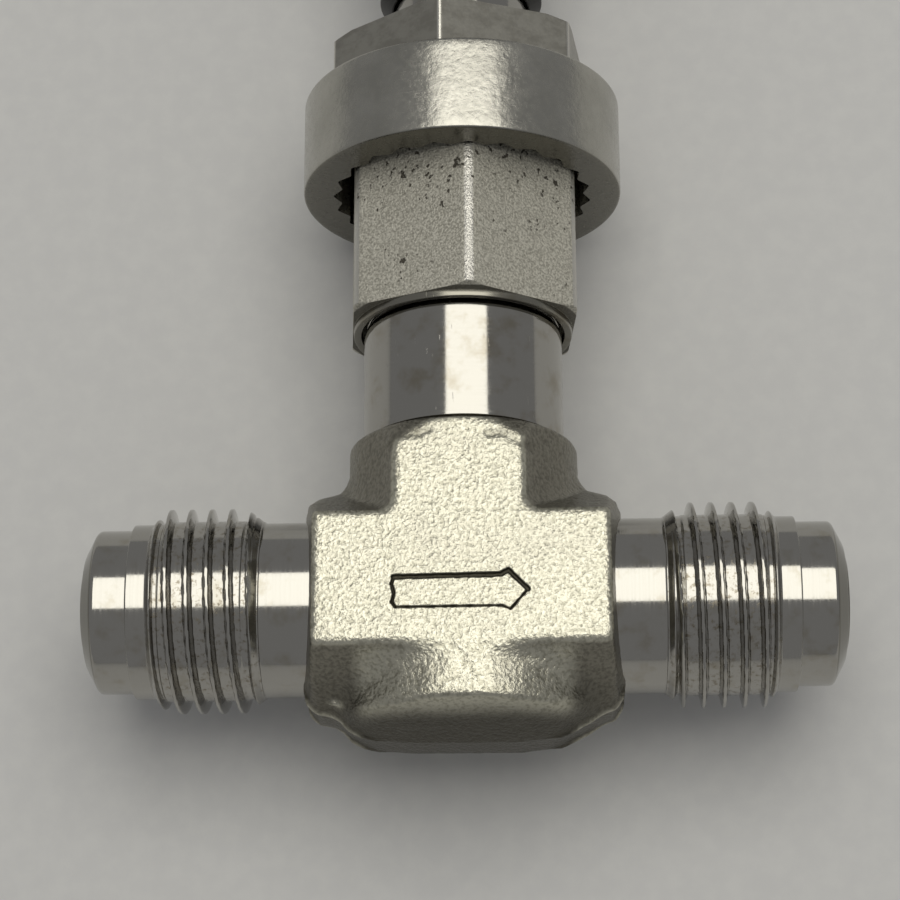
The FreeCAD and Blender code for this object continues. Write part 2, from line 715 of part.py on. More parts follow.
def actuator():
    """Screw with a cup at its foot that holds the stem's head."""
    bore = "head_radius + sliding"
    return turned("actuator", CUP_FOOT, [
        (bore, "0"),
        ("cup_radius", "0"),
        ("cup_radius", f"{CUP_TOP} - {CUP_FOOT}"),
        ("screw_radius", f"{CUP_TOP} - {CUP_FOOT}"),
        ("screw_radius", f"{HUB_TOP} - {CUP_FOOT}"),
        ("0", f"{HUB_TOP} - {CUP_FOOT}"),
        ("0", f"{CUP_TOP} - cup_wall - {CUP_FOOT}"),
        (bore, f"{CUP_TOP} - cup_wall - {CUP_FOOT}"),
        (bore, f"{CLIP_FOOT} + clip_height - {CUP_FOOT}"),
        (f"{bore} + clip_depth", f"{CLIP_FOOT} + clip_height - {CUP_FOOT}"),
        (f"{bore} + clip_depth", f"{CLIP_FOOT} - {CUP_FOOT}"),
        (bore, f"{CLIP_FOOT} - {CUP_FOOT}"),
    ])


def thimble():
    """Tube that slides over the scale, bevelled at its lower edge."""
    return turned("thimble", THIMBLE_FOOT, [
        ("thimble_bore", "0"),
        ("thimble_bore + running", "0"),
        ("thimble_radius", "thimble_bevel"),
        ("thimble_radius", f"{THIMBLE_TOP} - {THIMBLE_FOOT}"),
        ("thimble_bore", f"{THIMBLE_TOP} - {THIMBLE_FOOT}"),
    ])


def screw_places():
    """Names and turns of the three radial screws."""
    return [(f"screw_{number}", 120 * number) for number in (0, 1, 2)]


def screws(prefix, reach):
    """Three radial rods from the actuator outward at the set screws' height."""
    rods = []
    for name, degrees in screw_places():
        rods.append(rod(f"{prefix}_{name}", "set_screw_radius", reach, y=f"{HUB_TOP} - set_screw_height",
                        angle=str(degrees)))
    return rods


def drilled(label, blank):
    """Piece with the three screw holes cut through it."""
    piece = doc.addObject("Part::Cut", label)
    piece.Base = blank
    piece.Tool = together(f"{label}_holes", screws(f"{label}_hole", "2 * grip_radius"))
    return piece


def set_screws():
    """Screws that press on the actuator, in one node."""
    solid = doc.addObject("Part::Cut", "set_screws")
    solid.Base = together("screw_blanks", screws("blank", "grip_radius - set_screw_sink"))
    solid.Tool = rod("screw_seat", "screw_radius", HUB_TOP, axis=Vector(1, 0, 0), angle="-90")
    return solid


def handle_hub():
    """Sleeve on the actuator that carries the thimble and the grip."""
    return drilled("handle_hub", tube("hub_blank", HUB_FOOT, "hub_length", "screw_radius", "thimble_bore"))


def grip():
    """Round handle over the hub and the thimble's top, with a recess for its cap."""
    tuck = "thimble_tuck"
    top = f"{HUB_TOP} + cap_thickness - {GRIP_FOOT}"
    return drilled("grip", turned("grip_blank", GRIP_FOOT, [
        ("thimble_radius", "0"),
        ("grip_neck_radius", "0"),
        ("grip_neck_radius", "grip_neck_length"),
        ("grip_radius - grip_edge", "grip_neck_length"),
        ("grip_radius", "grip_neck_length + grip_edge"),
        ("grip_radius", f"{top} - grip_edge"),
        ("grip_radius - grip_edge", top),
        ("cap_radius", top),
        ("cap_radius", f"{top} - cap_thickness"),
        ("thimble_bore", f"{top} - cap_thickness"),
        ("thimble_bore", tuck),
        ("thimble_radius", tuck),
    ]))


def end_cap():
    return turned("end_cap", HUB_TOP, [
        ("0", "0"), ("cap_radius", "0"), ("cap_radius", "cap_thickness"), ("0", "cap_thickness"),
    ])


PIECES = (
    valve_body, bonnet_gasket, weld_ring, bellows, bonnet,
    union_nut, lock_ring, panel_nut, scale_sleeve, drive_nut,
    stem, stem_tip, bellows_collar, anti_rotation_pin,
    retaining_ring, thrust_ball, actuator, thimble, handle_hub, grip, set_screws, end_cap,
)
nodes = [make() for make in PIECES]
for make, node in zip(PIECES, nodes):
    node.Label = make.__name__
doc.recompute()

faults = [thing.Name for thing in doc.Objects if {"Invalid", "Error"} & set(thing.State)]
faults += [node.Label for node in nodes if node.Shape.isNull() or not node.Shape.isValid()]
if faults:
    raise RuntimeError(f"these objects failed: {faults}")
for node in nodes:
    node.Shape.exportStep(f"parts/{node.Label}.step")
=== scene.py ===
import math

import bmesh
import bpy
import numpy as np
from mathutils import Euler, Matrix


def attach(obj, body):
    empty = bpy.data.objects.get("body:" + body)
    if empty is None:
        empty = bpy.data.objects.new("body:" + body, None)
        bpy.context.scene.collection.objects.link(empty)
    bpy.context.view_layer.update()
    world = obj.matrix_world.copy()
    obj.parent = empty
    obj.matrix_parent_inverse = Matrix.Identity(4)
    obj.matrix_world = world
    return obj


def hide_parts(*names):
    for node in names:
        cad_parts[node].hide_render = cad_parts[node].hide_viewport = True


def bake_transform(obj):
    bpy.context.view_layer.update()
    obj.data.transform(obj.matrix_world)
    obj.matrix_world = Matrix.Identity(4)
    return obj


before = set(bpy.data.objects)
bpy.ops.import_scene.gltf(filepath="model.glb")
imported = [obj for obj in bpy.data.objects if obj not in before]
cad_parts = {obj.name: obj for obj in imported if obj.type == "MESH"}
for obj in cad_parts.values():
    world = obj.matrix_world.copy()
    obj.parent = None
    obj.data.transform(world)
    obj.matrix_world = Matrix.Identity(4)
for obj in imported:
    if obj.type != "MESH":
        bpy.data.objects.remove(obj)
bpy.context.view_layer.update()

# Shapes are worked out in millimetres of the row frame, and scaled to metres when a mesh is made.
MM = 0.001
INCH = 25.4
TURN = 2 * math.pi

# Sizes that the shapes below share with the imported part, in millimetres
BORE_RADIUS = 2.3
INLET_STOP = 1.5
OUTLET_START = 4.2
ORIFICE_RADIUS = 1.0
RISER_RADIUS = 1.1
RISER_OFFSET = 3.2
RISER_SPREAD = 2.1
CHAMBER_FLOOR = 5.0
CHAMBER_RADIUS = 4.75
END_FACE = 26.2
BEAD_CREST = 26.38
NOSE_RADIUS = 5.716
NOSE_EDGE = 25.38
RELIEF_RADIUS = 6.1
THREAD_CREST = 7.14
THREAD_PITCH = INCH / 18
NECK_RADIUS = 7.13
BOSS_TOP = 11.4
BELLOWS_FOOT = 12.5
BELLOWS_TOP = 30.0
NUT_FLATS = 5 / 8 * INCH
NUT_FOOT = 20.8
NUT_TOP = 36.9
NUT_BORE = 5.66
WASHER_RADIUS = 7.91
RING_RADIUS = 11.655
RING_FOOT = 31.46
RING_TOP = 38.5
THIN_FLATS = 11 / 16 * INCH
THIN_TOP = 42.9
THIN_BORE = 5.61
BARREL_RADIUS = 5.556
BARREL_TOP = 44.1
SLEEVE_RADIUS = 4.95
THIMBLE_RADIUS = 6.1
THIMBLE_FOOT = 46.9
THIMBLE_TOP = 61.7
GRIP_FOOT = 60.1
GRIP_RADIUS = 9.5
GRIP_TOP = 75.9
HUB_TOP = 74.7
SCREW_LEVEL = 68.2
TABLE_LEVEL = -11.66

# How far each hexagon is turned from pointing a corner straight up
NUT_TURN = math.radians(4.43)
THIN_TURN = math.radians(-7.52)


# Meshes

def mesh_piece(name, points, faces, body, material, replaces=()):
    """Mesh object from points in millimetres, riding on a body if one is given."""
    mesh = bpy.data.meshes.new(name)
    mesh.from_pydata((np.asarray(points) * MM).tolist(), [], faces)
    mesh.validate()
    thing = bpy.data.objects.new(name, mesh)
    bpy.context.scene.collection.objects.link(thing)
    mesh.polygons.foreach_set("use_smooth", [True] * len(mesh.polygons))
    mesh.materials.append(material)
    if body:
        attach(thing, body)
    if replaces:
        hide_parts(*replaces)
    return thing


def eased(corners, closed, steps=4):
    """Outline with its corners rounded; a corner is (radius, height) or (radius, height, easing)."""
    count = len(corners)
    outline = []
    for i, corner in enumerate(corners):
        here = np.array(corner[:2], float)
        ease = corner[2] if len(corner) > 2 else 0
        at_end = not closed and i in (0, count - 1)
        if ease == 0 or at_end:
            outline.append(here)
            continue
        ends = []
        for neighbour in (corners[i - 1], corners[(i + 1) % count]):
            side = np.array(neighbour[:2], float) - here
            length = np.linalg.norm(side)
            ends.append(here + side / length * min(ease, length / 2))
        for t in np.linspace(0, 1, steps + 1):
            outline.append((1 - t) ** 2 * ends[0] + 2 * t * (1 - t) * here + t * t * ends[1])
    return np.array(outline)


def divided(outline, step, closed):
    """Outline with its long runs divided into pieces no longer than the step."""
    ends = np.roll(outline, -1, axis=0) if closed else outline[1:]
    points = []
    for start, end in zip(outline, ends):
        pieces = max(1, math.ceil(np.linalg.norm(end - start) / step))
        for i in range(pieces):
            points.append(start + (end - start) * i / pieces)
    if not closed:
        points.append(outline[-1])
    return np.array(points)


def lathe(name, corners, body, material, axis="Y", closed=True, segments=128,
          step=1.0, shape=None, turn=0.0, replaces=(), sharp=35):
    """Piece turned about an axis of the row frame, from corners as eased() takes them.

    shape(angle, radius, height) gives the radius at each angle. An outline that isn't closed has both its
    ends on the axis.
    """
    outline = divided(eased(corners, closed), step, closed)
    angles = np.arange(segments) * TURN / segments
    radius = np.repeat(outline[:, :1], segments, axis=1)
    height = np.repeat(outline[:, 1:], segments, axis=1)
    angle = np.repeat(angles[None, :], len(outline), axis=0)
    if shape:
        radius = shape(angle, radius, height)
    across = radius * np.sin(angle + turn)
    up = radius * np.cos(angle + turn)
    if axis == "Y":
        points = np.stack([across, height, up], axis=-1)
    else:
        points = np.stack([height, up, across], axis=-1)
    rows = len(outline)
    index = np.arange(rows * segments).reshape(rows, segments)
    next_row = np.roll(index, -1, axis=0) if closed else index[1:]
    this_row = index if closed else index[:-1]
    quads = (this_row, next_row, np.roll(next_row, -1, axis=1), np.roll(this_row, -1, axis=1))
    faces = np.stack(quads, axis=-1).reshape(-1, 4).tolist()
    thing = mesh_piece(name, points.reshape(-1, 3), faces, body, material, replaces)
    work = bmesh.new()
    work.from_mesh(thing.data)
    bmesh.ops.remove_doubles(work, verts=work.verts, dist=1e-7)
    bmesh.ops.recalc_face_normals(work, faces=work.faces)
    work.to_mesh(thing.data)
    work.free()
    if sharp is not None:
        thing.data.set_sharp_from_angle(angle=math.radians(sharp))
    return thing


def smooth_min(a, b, blend):
    """Lesser of two fields, rounded where they cross."""
    share = np.clip(0.5 + 0.5 * (b - a) / blend, 0, 1)
    return b + (a - b) * share - blend * share * (1 - share)


def smooth_max(a, b, blend):
    """Greater of two fields, rounded where they cross."""
    return -smooth_min(-a, -b, blend)


def smooth_step(x, low, high):
    """0 below the low value, 1 above the high one and smooth between them."""
    t = np.clip((x - low) / (high - low), 0, 1)
    return t * t * (3 - 2 * t)


def band(x, low, high, ease):
    """1 between two values and 0 outside them, with smooth shoulders of the given width."""
    return smooth_step(x, low, low + ease) * (1 - smooth_step(x, high - ease, high))


def bell(x, middle, width):
    """1 at the middle, fading to nothing within about two widths."""
    return np.exp(-((x - middle) / width) ** 2)


def segment_distance(x, y, start, end):
    """Distance of points from the straight line between two others."""
    (ax, ay), (bx, by) = start, end
    ex, ey = bx - ax, by - ay
    t = np.clip(((x - ax) * ex + (y - ay) * ey) / (ex * ex + ey * ey), 0, 1)
    return np.hypot(x - ax - t * ex, y - ay - t * ey)


def lattice_noise(points, size, seed):
    """Smooth random field between -1 and 1 with features of the given size."""
    random = np.random.default_rng(seed)
    table = random.uniform(-1, 1, (32, 32, 32))
    place = points / size
    cell = np.floor(place).astype(int)
    part = place - cell
    part = part * part * (3 - 2 * part)
    total = 0
    for corner in range(8):
        shift = np.array([corner & 1, corner >> 1 & 1, corner >> 2 & 1])
        weight = np.prod(np.where(shift, part, 1 - part), axis=-1)
        i, j, k = ((cell + shift) % 32).T
        total = total + weight * table[i, j, k]
    return total


def hexagon_radius(angle, flats, corner_blend):
    """Distance from the axis to a hexagon with eased corners; a corner points at angle 0."""
    sector = (angle + math.pi / 6) % (math.pi / 3) - math.pi / 6
    one = flats / 2 / np.cos(math.pi / 6 - sector)
    other = flats / 2 / np.cos(math.pi / 6 + sector)
    return smooth_min(one, other, corner_blend)


def thread_depth(angle, height, pitch, depth, first):
    """How far a right-hand thread cuts below its crest; a crest passes angle 0 at the first height.

    The root is flat over half of the pitch, and the crest over an eighth of it.
    """
    rise = np.abs(((height - first) / pitch - angle / TURN) % 1 - 0.5) * 2
    return depth * (1 - smooth_step(rise, 0.5, 0.88))


# Forging: a field that is negative inside, meshed on a grid

FORGING_STEP = 0.12
FORGING_LOW = np.array([-11.6, -11.0, -8.6])
FORGING_HIGH = np.array([11.6, 12.0, 8.6])
# Half the height over the pads, and half the height of the upright trimmed band
PAD = 8.05
LAND = 1.6
# Half the width of the T's arm and leg at their pads and down at the trimmed band, and the leg's middle
ARM_EDGE, ARM_WAIST = 4.55, 8.0
LEG_EDGE, LEG_WAIST, LEG_SHIFT = 4.4, 7.9, -0.15
BOSS_RADIUS = 8.04
# Gap between the forging's skin and the wall of the chamber, which is part of the neck
SKIN_GAP = 0.05
# Burr on the trimmed band, and the spot on it that gets a painted highlight
BURR = (-8.65, -7.45, 2.9)
BURR_TIP = (-8.65, -7.5, 2.95)

# Outline at the parting plane: shoulder, inlet side, foot, outlet side and shoulder
OUTLINE = (
    (-8.05, 12.5), (-8.05, 9.3), (-8.8, 8.15), (-10.15, 7.45), (-11.0, 6.3),
    (-11.0, -6.0), (-10.65, -7.1), (-10.0, -7.9), (-9.1, -8.15), (-8.4, -8.4), (-7.75, -9.0), (-7.0, -9.4),
    (-6.0, -9.75), (-3.5, -9.95), (3.7, -9.975), (5.4, -9.8), (6.6, -9.58), (7.3, -9.2), (8.9, -8.35),
    (10.2, -7.8), (10.7, -7.0), (11.0, -6.0),
    (11.0, 6.3), (10.15, 7.45), (8.8, 8.15), (8.05, 9.3), (8.05, 12.5),
)

# Corners of the flow arrow's outline: x, y and the half width of the line that starts there
ARROW = (
    (-4.52, -0.12, 0.15), (-4.68, -0.6, 0.13), (-4.5, -1.3, 0.13), (-4.64, -1.85, 0.12), (-4.4, -2.22, 0.09),
    (2.72, -2.2, 0.09), (3.28, -2.46, 0.1), (4.47, -1.08, 0.19), (3.15, 0.28, 0.2), (2.68, -0.02, 0.2),
)

# Wrinkles where the leg's pads meet the turned top: both ends of each
WRINKLES = (
    ((-4.9, 9.5), (-3.6, 10.1)), ((-3.6, 10.1), (-2.2, 10.4)),
    ((4.7, 9.3), (3.2, 9.85)), ((3.2, 9.85), (1.8, 9.95)),
)


def outline_distance(x, y):
    """Signed distance to the forging's outline, negative inside."""
    nearest = np.inf
    inside = np.zeros(np.broadcast(x, y).shape, bool)
    for (ax, ay), (bx, by) in zip(OUTLINE, OUTLINE[1:] + OUTLINE[:1]):
        nearest = np.minimum(nearest, segment_distance(x, y, (ax, ay), (bx, by)))
        if ay != by:
            crosses = (ay > y) != (by > y)
            inside ^= crosses & (x < ax + (y - ay) * (bx - ax) / (by - ay))
    return nearest * np.where(inside, -1, 1)


def slope(across, height, pad_edge, waist):
    """Sloping side of a forged bar, from the pad's edge down to the trimmed band."""
    run, drop = waist - pad_edge, PAD - LAND
    return ((across - pad_edge) * drop + (height - PAD) * run) / math.hypot(run, drop)


def passage_field(x, y, z):
    """Bores, metering orifice, chamber and slanting riser; negative inside them."""
    around_flow = np.hypot(y, z)
    around_stem = np.hypot(x, z)
    inlet = np.maximum(around_flow - BORE_RADIUS, x - INLET_STOP)
    outlet = np.maximum(around_flow - BORE_RADIUS, OUTLET_START - x)
    orifice = np.maximum(around_stem - ORIFICE_RADIUS, -y)
    chamber = np.maximum(around_stem - CHAMBER_RADIUS - SKIN_GAP, CHAMBER_FLOOR - y)
    length = math.hypot(RISER_SPREAD, CHAMBER_FLOOR)
    across = ((x - RISER_OFFSET - RISER_SPREAD) * CHAMBER_FLOOR + y * RISER_SPREAD) / length
    riser = np.hypot(across, z) - RISER_RADIUS
    riser = np.maximum(riser, np.maximum(-y, y - CHAMBER_FLOOR - 0.5))
    bores = np.minimum(inlet, outlet)
    return np.minimum(np.minimum(bores, np.minimum(orifice, chamber)), riser)


def forging_field(x, y, z):
    """Forged T body; negative inside it. The last number of each step is how wide its edge is eased."""
    height = np.abs(z)
    around_stem = np.hypot(x, z)

    # Arm, leg, round boss and rounded foot, under flat pads
    arm = smooth_max(slope(y, height, ARM_EDGE, ARM_WAIST), slope(-y, height, ARM_EDGE, ARM_WAIST), 0.3)
    leg = smooth_max(slope(np.abs(x - LEG_SHIFT), height, LEG_EDGE, LEG_WAIST), -y - 2, 0.3)
    boss = smooth_max(around_stem - BOSS_RADIUS, -y, 0.3)
    foot = smooth_max((np.hypot((x - 0.3) / 9.0, z / PAD) - 1) * PAD, y + 2, 0.3)
    whole = smooth_min(smooth_min(arm, leg, 1.0), boss, 0.6)
    whole = smooth_min(whole, foot, 1.2)
    whole = smooth_max(whole, height - PAD, 0.35)

    # Outline, drafted above the trimmed band, with a ridge on the band's edge at the foot's corners
    draft = np.maximum(0, height - LAND) * (0.14 + 0.12 * smooth_step(-y, 4, 8.5))
    ridge = 0.2 * bell(height, LAND, 0.2) * smooth_step(-y, 5.5, 7) * smooth_step(np.abs(x), 5, 7.5)
    whole = smooth_max(whole, outline_distance(x, y) + draft - ridge, 0.5)
    from_burr = ((x - BURR[0]) / 3) ** 2 + (y - BURR[1]) ** 2 + ((height - BURR[2]) / 1.2) ** 2
    whole = smooth_min(whole, np.sqrt(from_burr) - 0.19, 0.12)

    # Turned cone and flat top under the neck
    cone = around_stem - (BOSS_RADIUS + 0.68 * (BOSS_TOP - y) + 2 * np.maximum(0, 9.0 - y))
    whole = smooth_max(whole, cone * 0.8, 0.25)
    whole = smooth_max(whole, y - BOSS_TOP, 0.2)
    return np.maximum(whole, -passage_field(x, y, z))


def net_of(field, origin, step):
    """Quads on the zero level of a sampled field, one point in each mixed cell."""
    inside = field < 0
    shape = np.array(field.shape) - 1
    shifts = [(c & 1, c >> 1 & 1, c >> 2 & 1) for c in range(8)]

    def corner(array, shift):
        return array[tuple(slice(s, s + n) for s, n in zip(shift, shape))]

    count = sum(corner(inside, s).astype(np.int8) for s in shifts)
    cells = np.argwhere((count > 0) & (count < 8))
    values = np.stack([field[tuple((cells + s).T)] for s in shifts], axis=1)
    total = np.zeros((len(cells), 3))
    hits = np.zeros(len(cells))
    for a in range(8):
        for b in range(a + 1, 8):
            if bin(a ^ b).count("1") != 1:
                continue
            crossed = (values[:, a] < 0) != (values[:, b] < 0)
            gap = np.where(crossed, values[:, a] - values[:, b], 1)
            t = (values[:, a] / gap)[:, None]
            place = np.array(shifts[a]) * (1 - t) + np.array(shifts[b]) * t
            total += np.where(crossed[:, None], place, 0)
            hits += crossed
    points = origin + (cells + total / hits[:, None]) * step
    number = np.full(shape, -1, np.int32)
    number[tuple(cells.T)] = np.arange(len(cells))
    faces = []
    for axis in range(3):
        u, v = (axis + 1) % 3, (axis + 2) % 3
        low = [slice(None)] * 3
        high = [slice(None)] * 3
        low[axis], high[axis] = slice(0, -1), slice(1, None)
        change = inside[tuple(low)].astype(np.int8) - inside[tuple(high)].astype(np.int8)
        edges = np.argwhere(change != 0)
        signs = change[tuple(edges.T)]
        ring = []
        for du, dv in ((-1, -1), (0, -1), (0, 0), (-1, 0)):
            at = edges.copy()
            at[:, u] += du
            at[:, v] += dv
            ring.append(number[tuple(at.T)])
        quads = np.stack(ring, axis=1)
        quads[signs < 0] = quads[signs < 0][:, ::-1]
        faces.append(quads)
    return points, np.concatenate(faces)


def inside_arrow_line(points):
    """How far each point lies inside the line of the arrow's outline, negative outside it."""
    x, y = points[:, 0], points[:, 1]
    uneven = 0.03 * lattice_noise(points, 0.28, 11)
    within = np.full(x.shape, -9.0)
    for start, end in zip(ARROW, ARROW[1:] + ARROW[:1]):
        away = segment_distance(x, y, start[:2], end[:2])
        within = np.maximum(within, start[2] + uneven - away)
    return np.where(points[:, 2] > PAD - 0.4, within, -9.0)


def wrinkled(points):
    """How deep each point lies in the wrinkles, from 0 to 1."""
    x, y = points[:, 0], points[:, 1] + 0.28 * lattice_noise(points, 0.7, 14)
    away = np.full(x.shape, 9.0)
    for start, end in WRINKLES:
        away = np.minimum(away, segment_distance(x, y, start, end))
    return bell(away, 0, 0.3) * smooth_step(np.abs(points[:, 2]), PAD - 2.5, PAD - 1.0)


def forging_net():
    """Points, normals and faces of the forging, divided finer along the arrow's line."""
    counts = np.ceil((FORGING_HIGH - FORGING_LOW) / FORGING_STEP).astype(int) + 1
    x, y, z = (FORGING_LOW[i] + np.arange(counts[i]) * FORGING_STEP for i in range(3))
    field = forging_field(x[:, None, None], y[None, :, None], z[None, None, :])
    points, quads = net_of(field, FORGING_LOW, FORGING_STEP)
    mesh = bpy.data.meshes.new("forging_grid")
    mesh.from_pydata(points.tolist(), [], quads.tolist())
    work = bmesh.new()
    work.from_mesh(mesh)
    work.verts.ensure_lookup_table()
    places = np.array([v.co for v in work.verts])
    on_line = np.nonzero(inside_arrow_line(places) > -0.05)[0]
    near = dict.fromkeys(edge for i in on_line for edge in work.verts[i].link_edges)
    bmesh.ops.subdivide_edges(work, edges=list(near), cuts=2, use_grid_fill=True)
    work.to_mesh(mesh)
    work.free()
    points = np.array([v.co for v in mesh.vertices], float)
    normals = np.array([v.normal for v in mesh.vertices], float)
    faces = [tuple(p.vertices) for p in mesh.polygons]
    bpy.data.meshes.remove(mesh)
    return points, normals, faces


def forging_skin(material):
    """Forged T body with its blasted skin, wrinkles and flow arrow, and masks for its painted light and
    shade.
    """
    points, normals, faces = forging_net()
    reach, down, height = np.abs(points[:, 0] - 0.2), -points[:, 1], np.abs(points[:, 2])

    # Skin: blasted grain and slow waves outside the passages, then the wrinkles and the arrow's line
    hollow = smooth_step(down, 4.3, 5.2) * smooth_step(-down, -9.2, -8.4)
    hollow = hollow * smooth_step(-reach, -8.0, -6.5) * smooth_step(height, 2.5, 6)
    blasted = 0.010 * lattice_noise(points, 0.33, 5) + (0.012 + 0.03 * hollow) * lattice_noise(points, 0.8, 6)
    wavy = 0.03 * lattice_noise(points, 3.1, 7)
    sides = smooth_step(np.abs(points[:, 1]), 4.5, 6.5)
    outside = smooth_step(np.abs(passage_field(*points.T)), 0.1, 0.3)
    points += normals * (outside * (blasted + wavy * (0.4 + 0.6 * sides)))[:, None]
    creased = wrinkled(points)
    points -= normals * (0.1 * creased)[:, None]
    within = inside_arrow_line(points)
    points[:, 2] -= np.clip(2.0 * within, 0, 0.22)
    thing = mesh_piece("forging", points, faces, "root", material, replaces=("valve_body",))

    # Mask: pads and hollows unshaded, painted highlights on ridge and burr, not the pads' top corners
    ridge = bell(height, LAND, 0.2) * smooth_step(down, 6.3, 7.2) * smooth_step(reach, 6.8, 7.8)
    burr = bell(points[:, 0], BURR_TIP[0], 0.5) * bell(-down, BURR_TIP[1], 0.3)
    burr = burr * bell(height, BURR_TIP[2], 0.3)
    brightened = smooth_step(height, PAD - 0.5, PAD - 0.1)
    for part in (0.8 * hollow, 0.7 * ridge, burr):
        brightened = np.maximum(brightened, part)
    uneven = 0.35 * lattice_noise(points, 0.6, 15)
    corner = smooth_step(uneven - down, 9.75, 10.25) * smooth_step(uneven + reach, 2.0, 3.1)
    brightened = brightened * (1 - 0.75 * corner)
    # Painted shade in the arrow's groove, and faintly in the wrinkles
    painted_groove_shade = np.maximum(smooth_step(within, -0.01, 0.05), 0.25 * creased)
    for name, values in (("painted_groove_shade", painted_groove_shade), ("brightened", brightened)):
        thing.data.attributes.new(name, "FLOAT", "POINT").data.foreach_set("value", values)


# Machined ends and neck

def flow_end(name, side, first_crest, material):
    """Face-seal end with its nose, thread and relief, hollow along the bore."""
    def shape(angle, radius, height):
        reach = np.abs(height)
        depth = thread_depth(angle, height, THREAD_PITCH, 0.86, first_crest)
        cut = depth * band(reach, 14.3, 21.3, 0.5)
        on_thread = radius > RELIEF_RADIUS + 0.05
        return np.where(on_thread, np.maximum(radius - cut, RELIEF_RADIUS + 0.1), radius)

    corners = [
        (BORE_RADIUS, 8.5), (BORE_RADIUS, END_FACE - 0.3), (BORE_RADIUS + 0.25, END_FACE),
        (2.95, END_FACE, 0.05), (3.1, BEAD_CREST, 0.1), (3.4, BEAD_CREST, 0.1), (3.55, END_FACE, 0.05),
        (4.18, END_FACE, 0.12), (NOSE_RADIUS, NOSE_EDGE, 0.25), (NOSE_RADIUS, 22.95, 0.03),
        (RELIEF_RADIUS, 22.88, 0.05), (RELIEF_RADIUS, 21.55, 0.05), (THREAD_CREST, 20.7, 0.1),
        (THREAD_CREST, 15.1, 0.1), (RELIEF_RADIUS, 13.8, 0.15), (RELIEF_RADIUS, 8.5),
    ]
    placed = [(c[0], side * c[1], *c[2:]) for c in corners]
    lathe(name, placed, "root", material, axis="X", segments=192, step=0.045, shape=shape)


def neck(material):
    """Turned neck with grooves at both ends and its thread inside the union nut."""
    lathe("neck", [
        (CHAMBER_RADIUS, 9.0), (CHAMBER_RADIUS, 29.2), (6.55, 29.2, 0.1), (6.8, 28.85, 0.1),
        (6.8, 21.6, 0.05), (6.98, 21.45, 0.05), (6.98, 20.8, 0.05), (6.82, 20.74, 0.03), (6.82, 20.6, 0.03),
        (7.0, 20.54, 0.04), (7.05, 20.2, 0.04), (NECK_RADIUS, 20.12, 0.04), (NECK_RADIUS, 11.82, 0.04),
        (6.9, 11.72, 0.03), (6.9, 9.0),
    ], "root", material, segments=192, step=0.5)


# Nuts and ring

def hexagon(name, corners, flats, corner_blend, turn, material, replaces):
    """Piece turned with the given corners, and then cut to a hexagon."""
    def shape(angle, radius, height):
        return smooth_min(radius, hexagon_radius(angle, flats, corner_blend), 0.03)

    lathe(name, corners, "root", material, segments=480, step=0.11, shape=shape, turn=turn,
          replaces=(replaces,))


def union_nut(material):
    """Long hexagon with rounded corners and a countersunk mouth over the neck."""
    corner = NUT_FLATS / math.sqrt(3) + 0.02
    hexagon("union_nut_hex", [
        (7.05, NUT_FOOT + 0.6), (7.5, NUT_FOOT, 0.03), (8.6, NUT_FOOT, 0.03), (corner, NUT_FOOT + 0.28, 0.03),
        (corner, NUT_TOP - 0.28, 0.03), (8.6, NUT_TOP, 0.03), (NUT_BORE, NUT_TOP), (NUT_BORE, 33.2),
        (7.05, 33.2),
    ], NUT_FLATS, 0.6, NUT_TURN, material, "union_nut")


def washer_face(material):
    """Thin turned ring round the mouth of the union nut."""
    lathe("union_nut_washer_face", [
        (7.3, NUT_FOOT + 0.1), (7.36, NUT_FOOT - 0.42), (WASHER_RADIUS - 0.05, NUT_FOOT - 0.48, 0.06),
        (WASHER_RADIUS, NUT_FOOT + 0.1),
    ], "root", material, segments=192, step=0.5)


def lock_ring(material):
    """Turned ring with a 24-point bore, hung from its web on top of the union nut."""
    tip, root, tooth = 9.455, 8.93, TURN / 24

    def shape(angle, radius, height):
        wave = np.abs((angle / tooth) % 1 - 0.5) * 2
        notch = root + (tip - root) * np.clip(wave * 1.15 - 0.1, 0, 1)
        return np.where(np.abs(radius - root) < 0.02, notch, radius)

    lathe("lock_ring_turned", [
        (root, RING_FOOT), (RING_RADIUS, RING_FOOT, 0.22), (RING_RADIUS, RING_TOP, 0.22),
        (NUT_BORE, RING_TOP), (NUT_BORE, NUT_TOP + 0.02), (root, NUT_TOP + 0.02),
    ], "root", material, segments=480, step=0.5, shape=shape, turn=NUT_TURN,
        replaces=("lock_ring",))


def thin_nut(material):
    """Thin hexagon with sharper corners, chamfered at both faces."""
    corner = THIN_FLATS / math.sqrt(3) + 0.02
    hexagon("panel_nut_hex", [
        (THIN_BORE, RING_TOP), (9.4, RING_TOP, 0.05), (corner, RING_TOP + 0.4, 0.04),
        (corner, THIN_TOP - 0.38, 0.04), (9.35, THIN_TOP, 0.05), (6.1, THIN_TOP),
        (THIN_BORE, THIN_TOP - 0.45),
    ], THIN_FLATS, 0.15, THIN_TURN, material, "panel_nut")


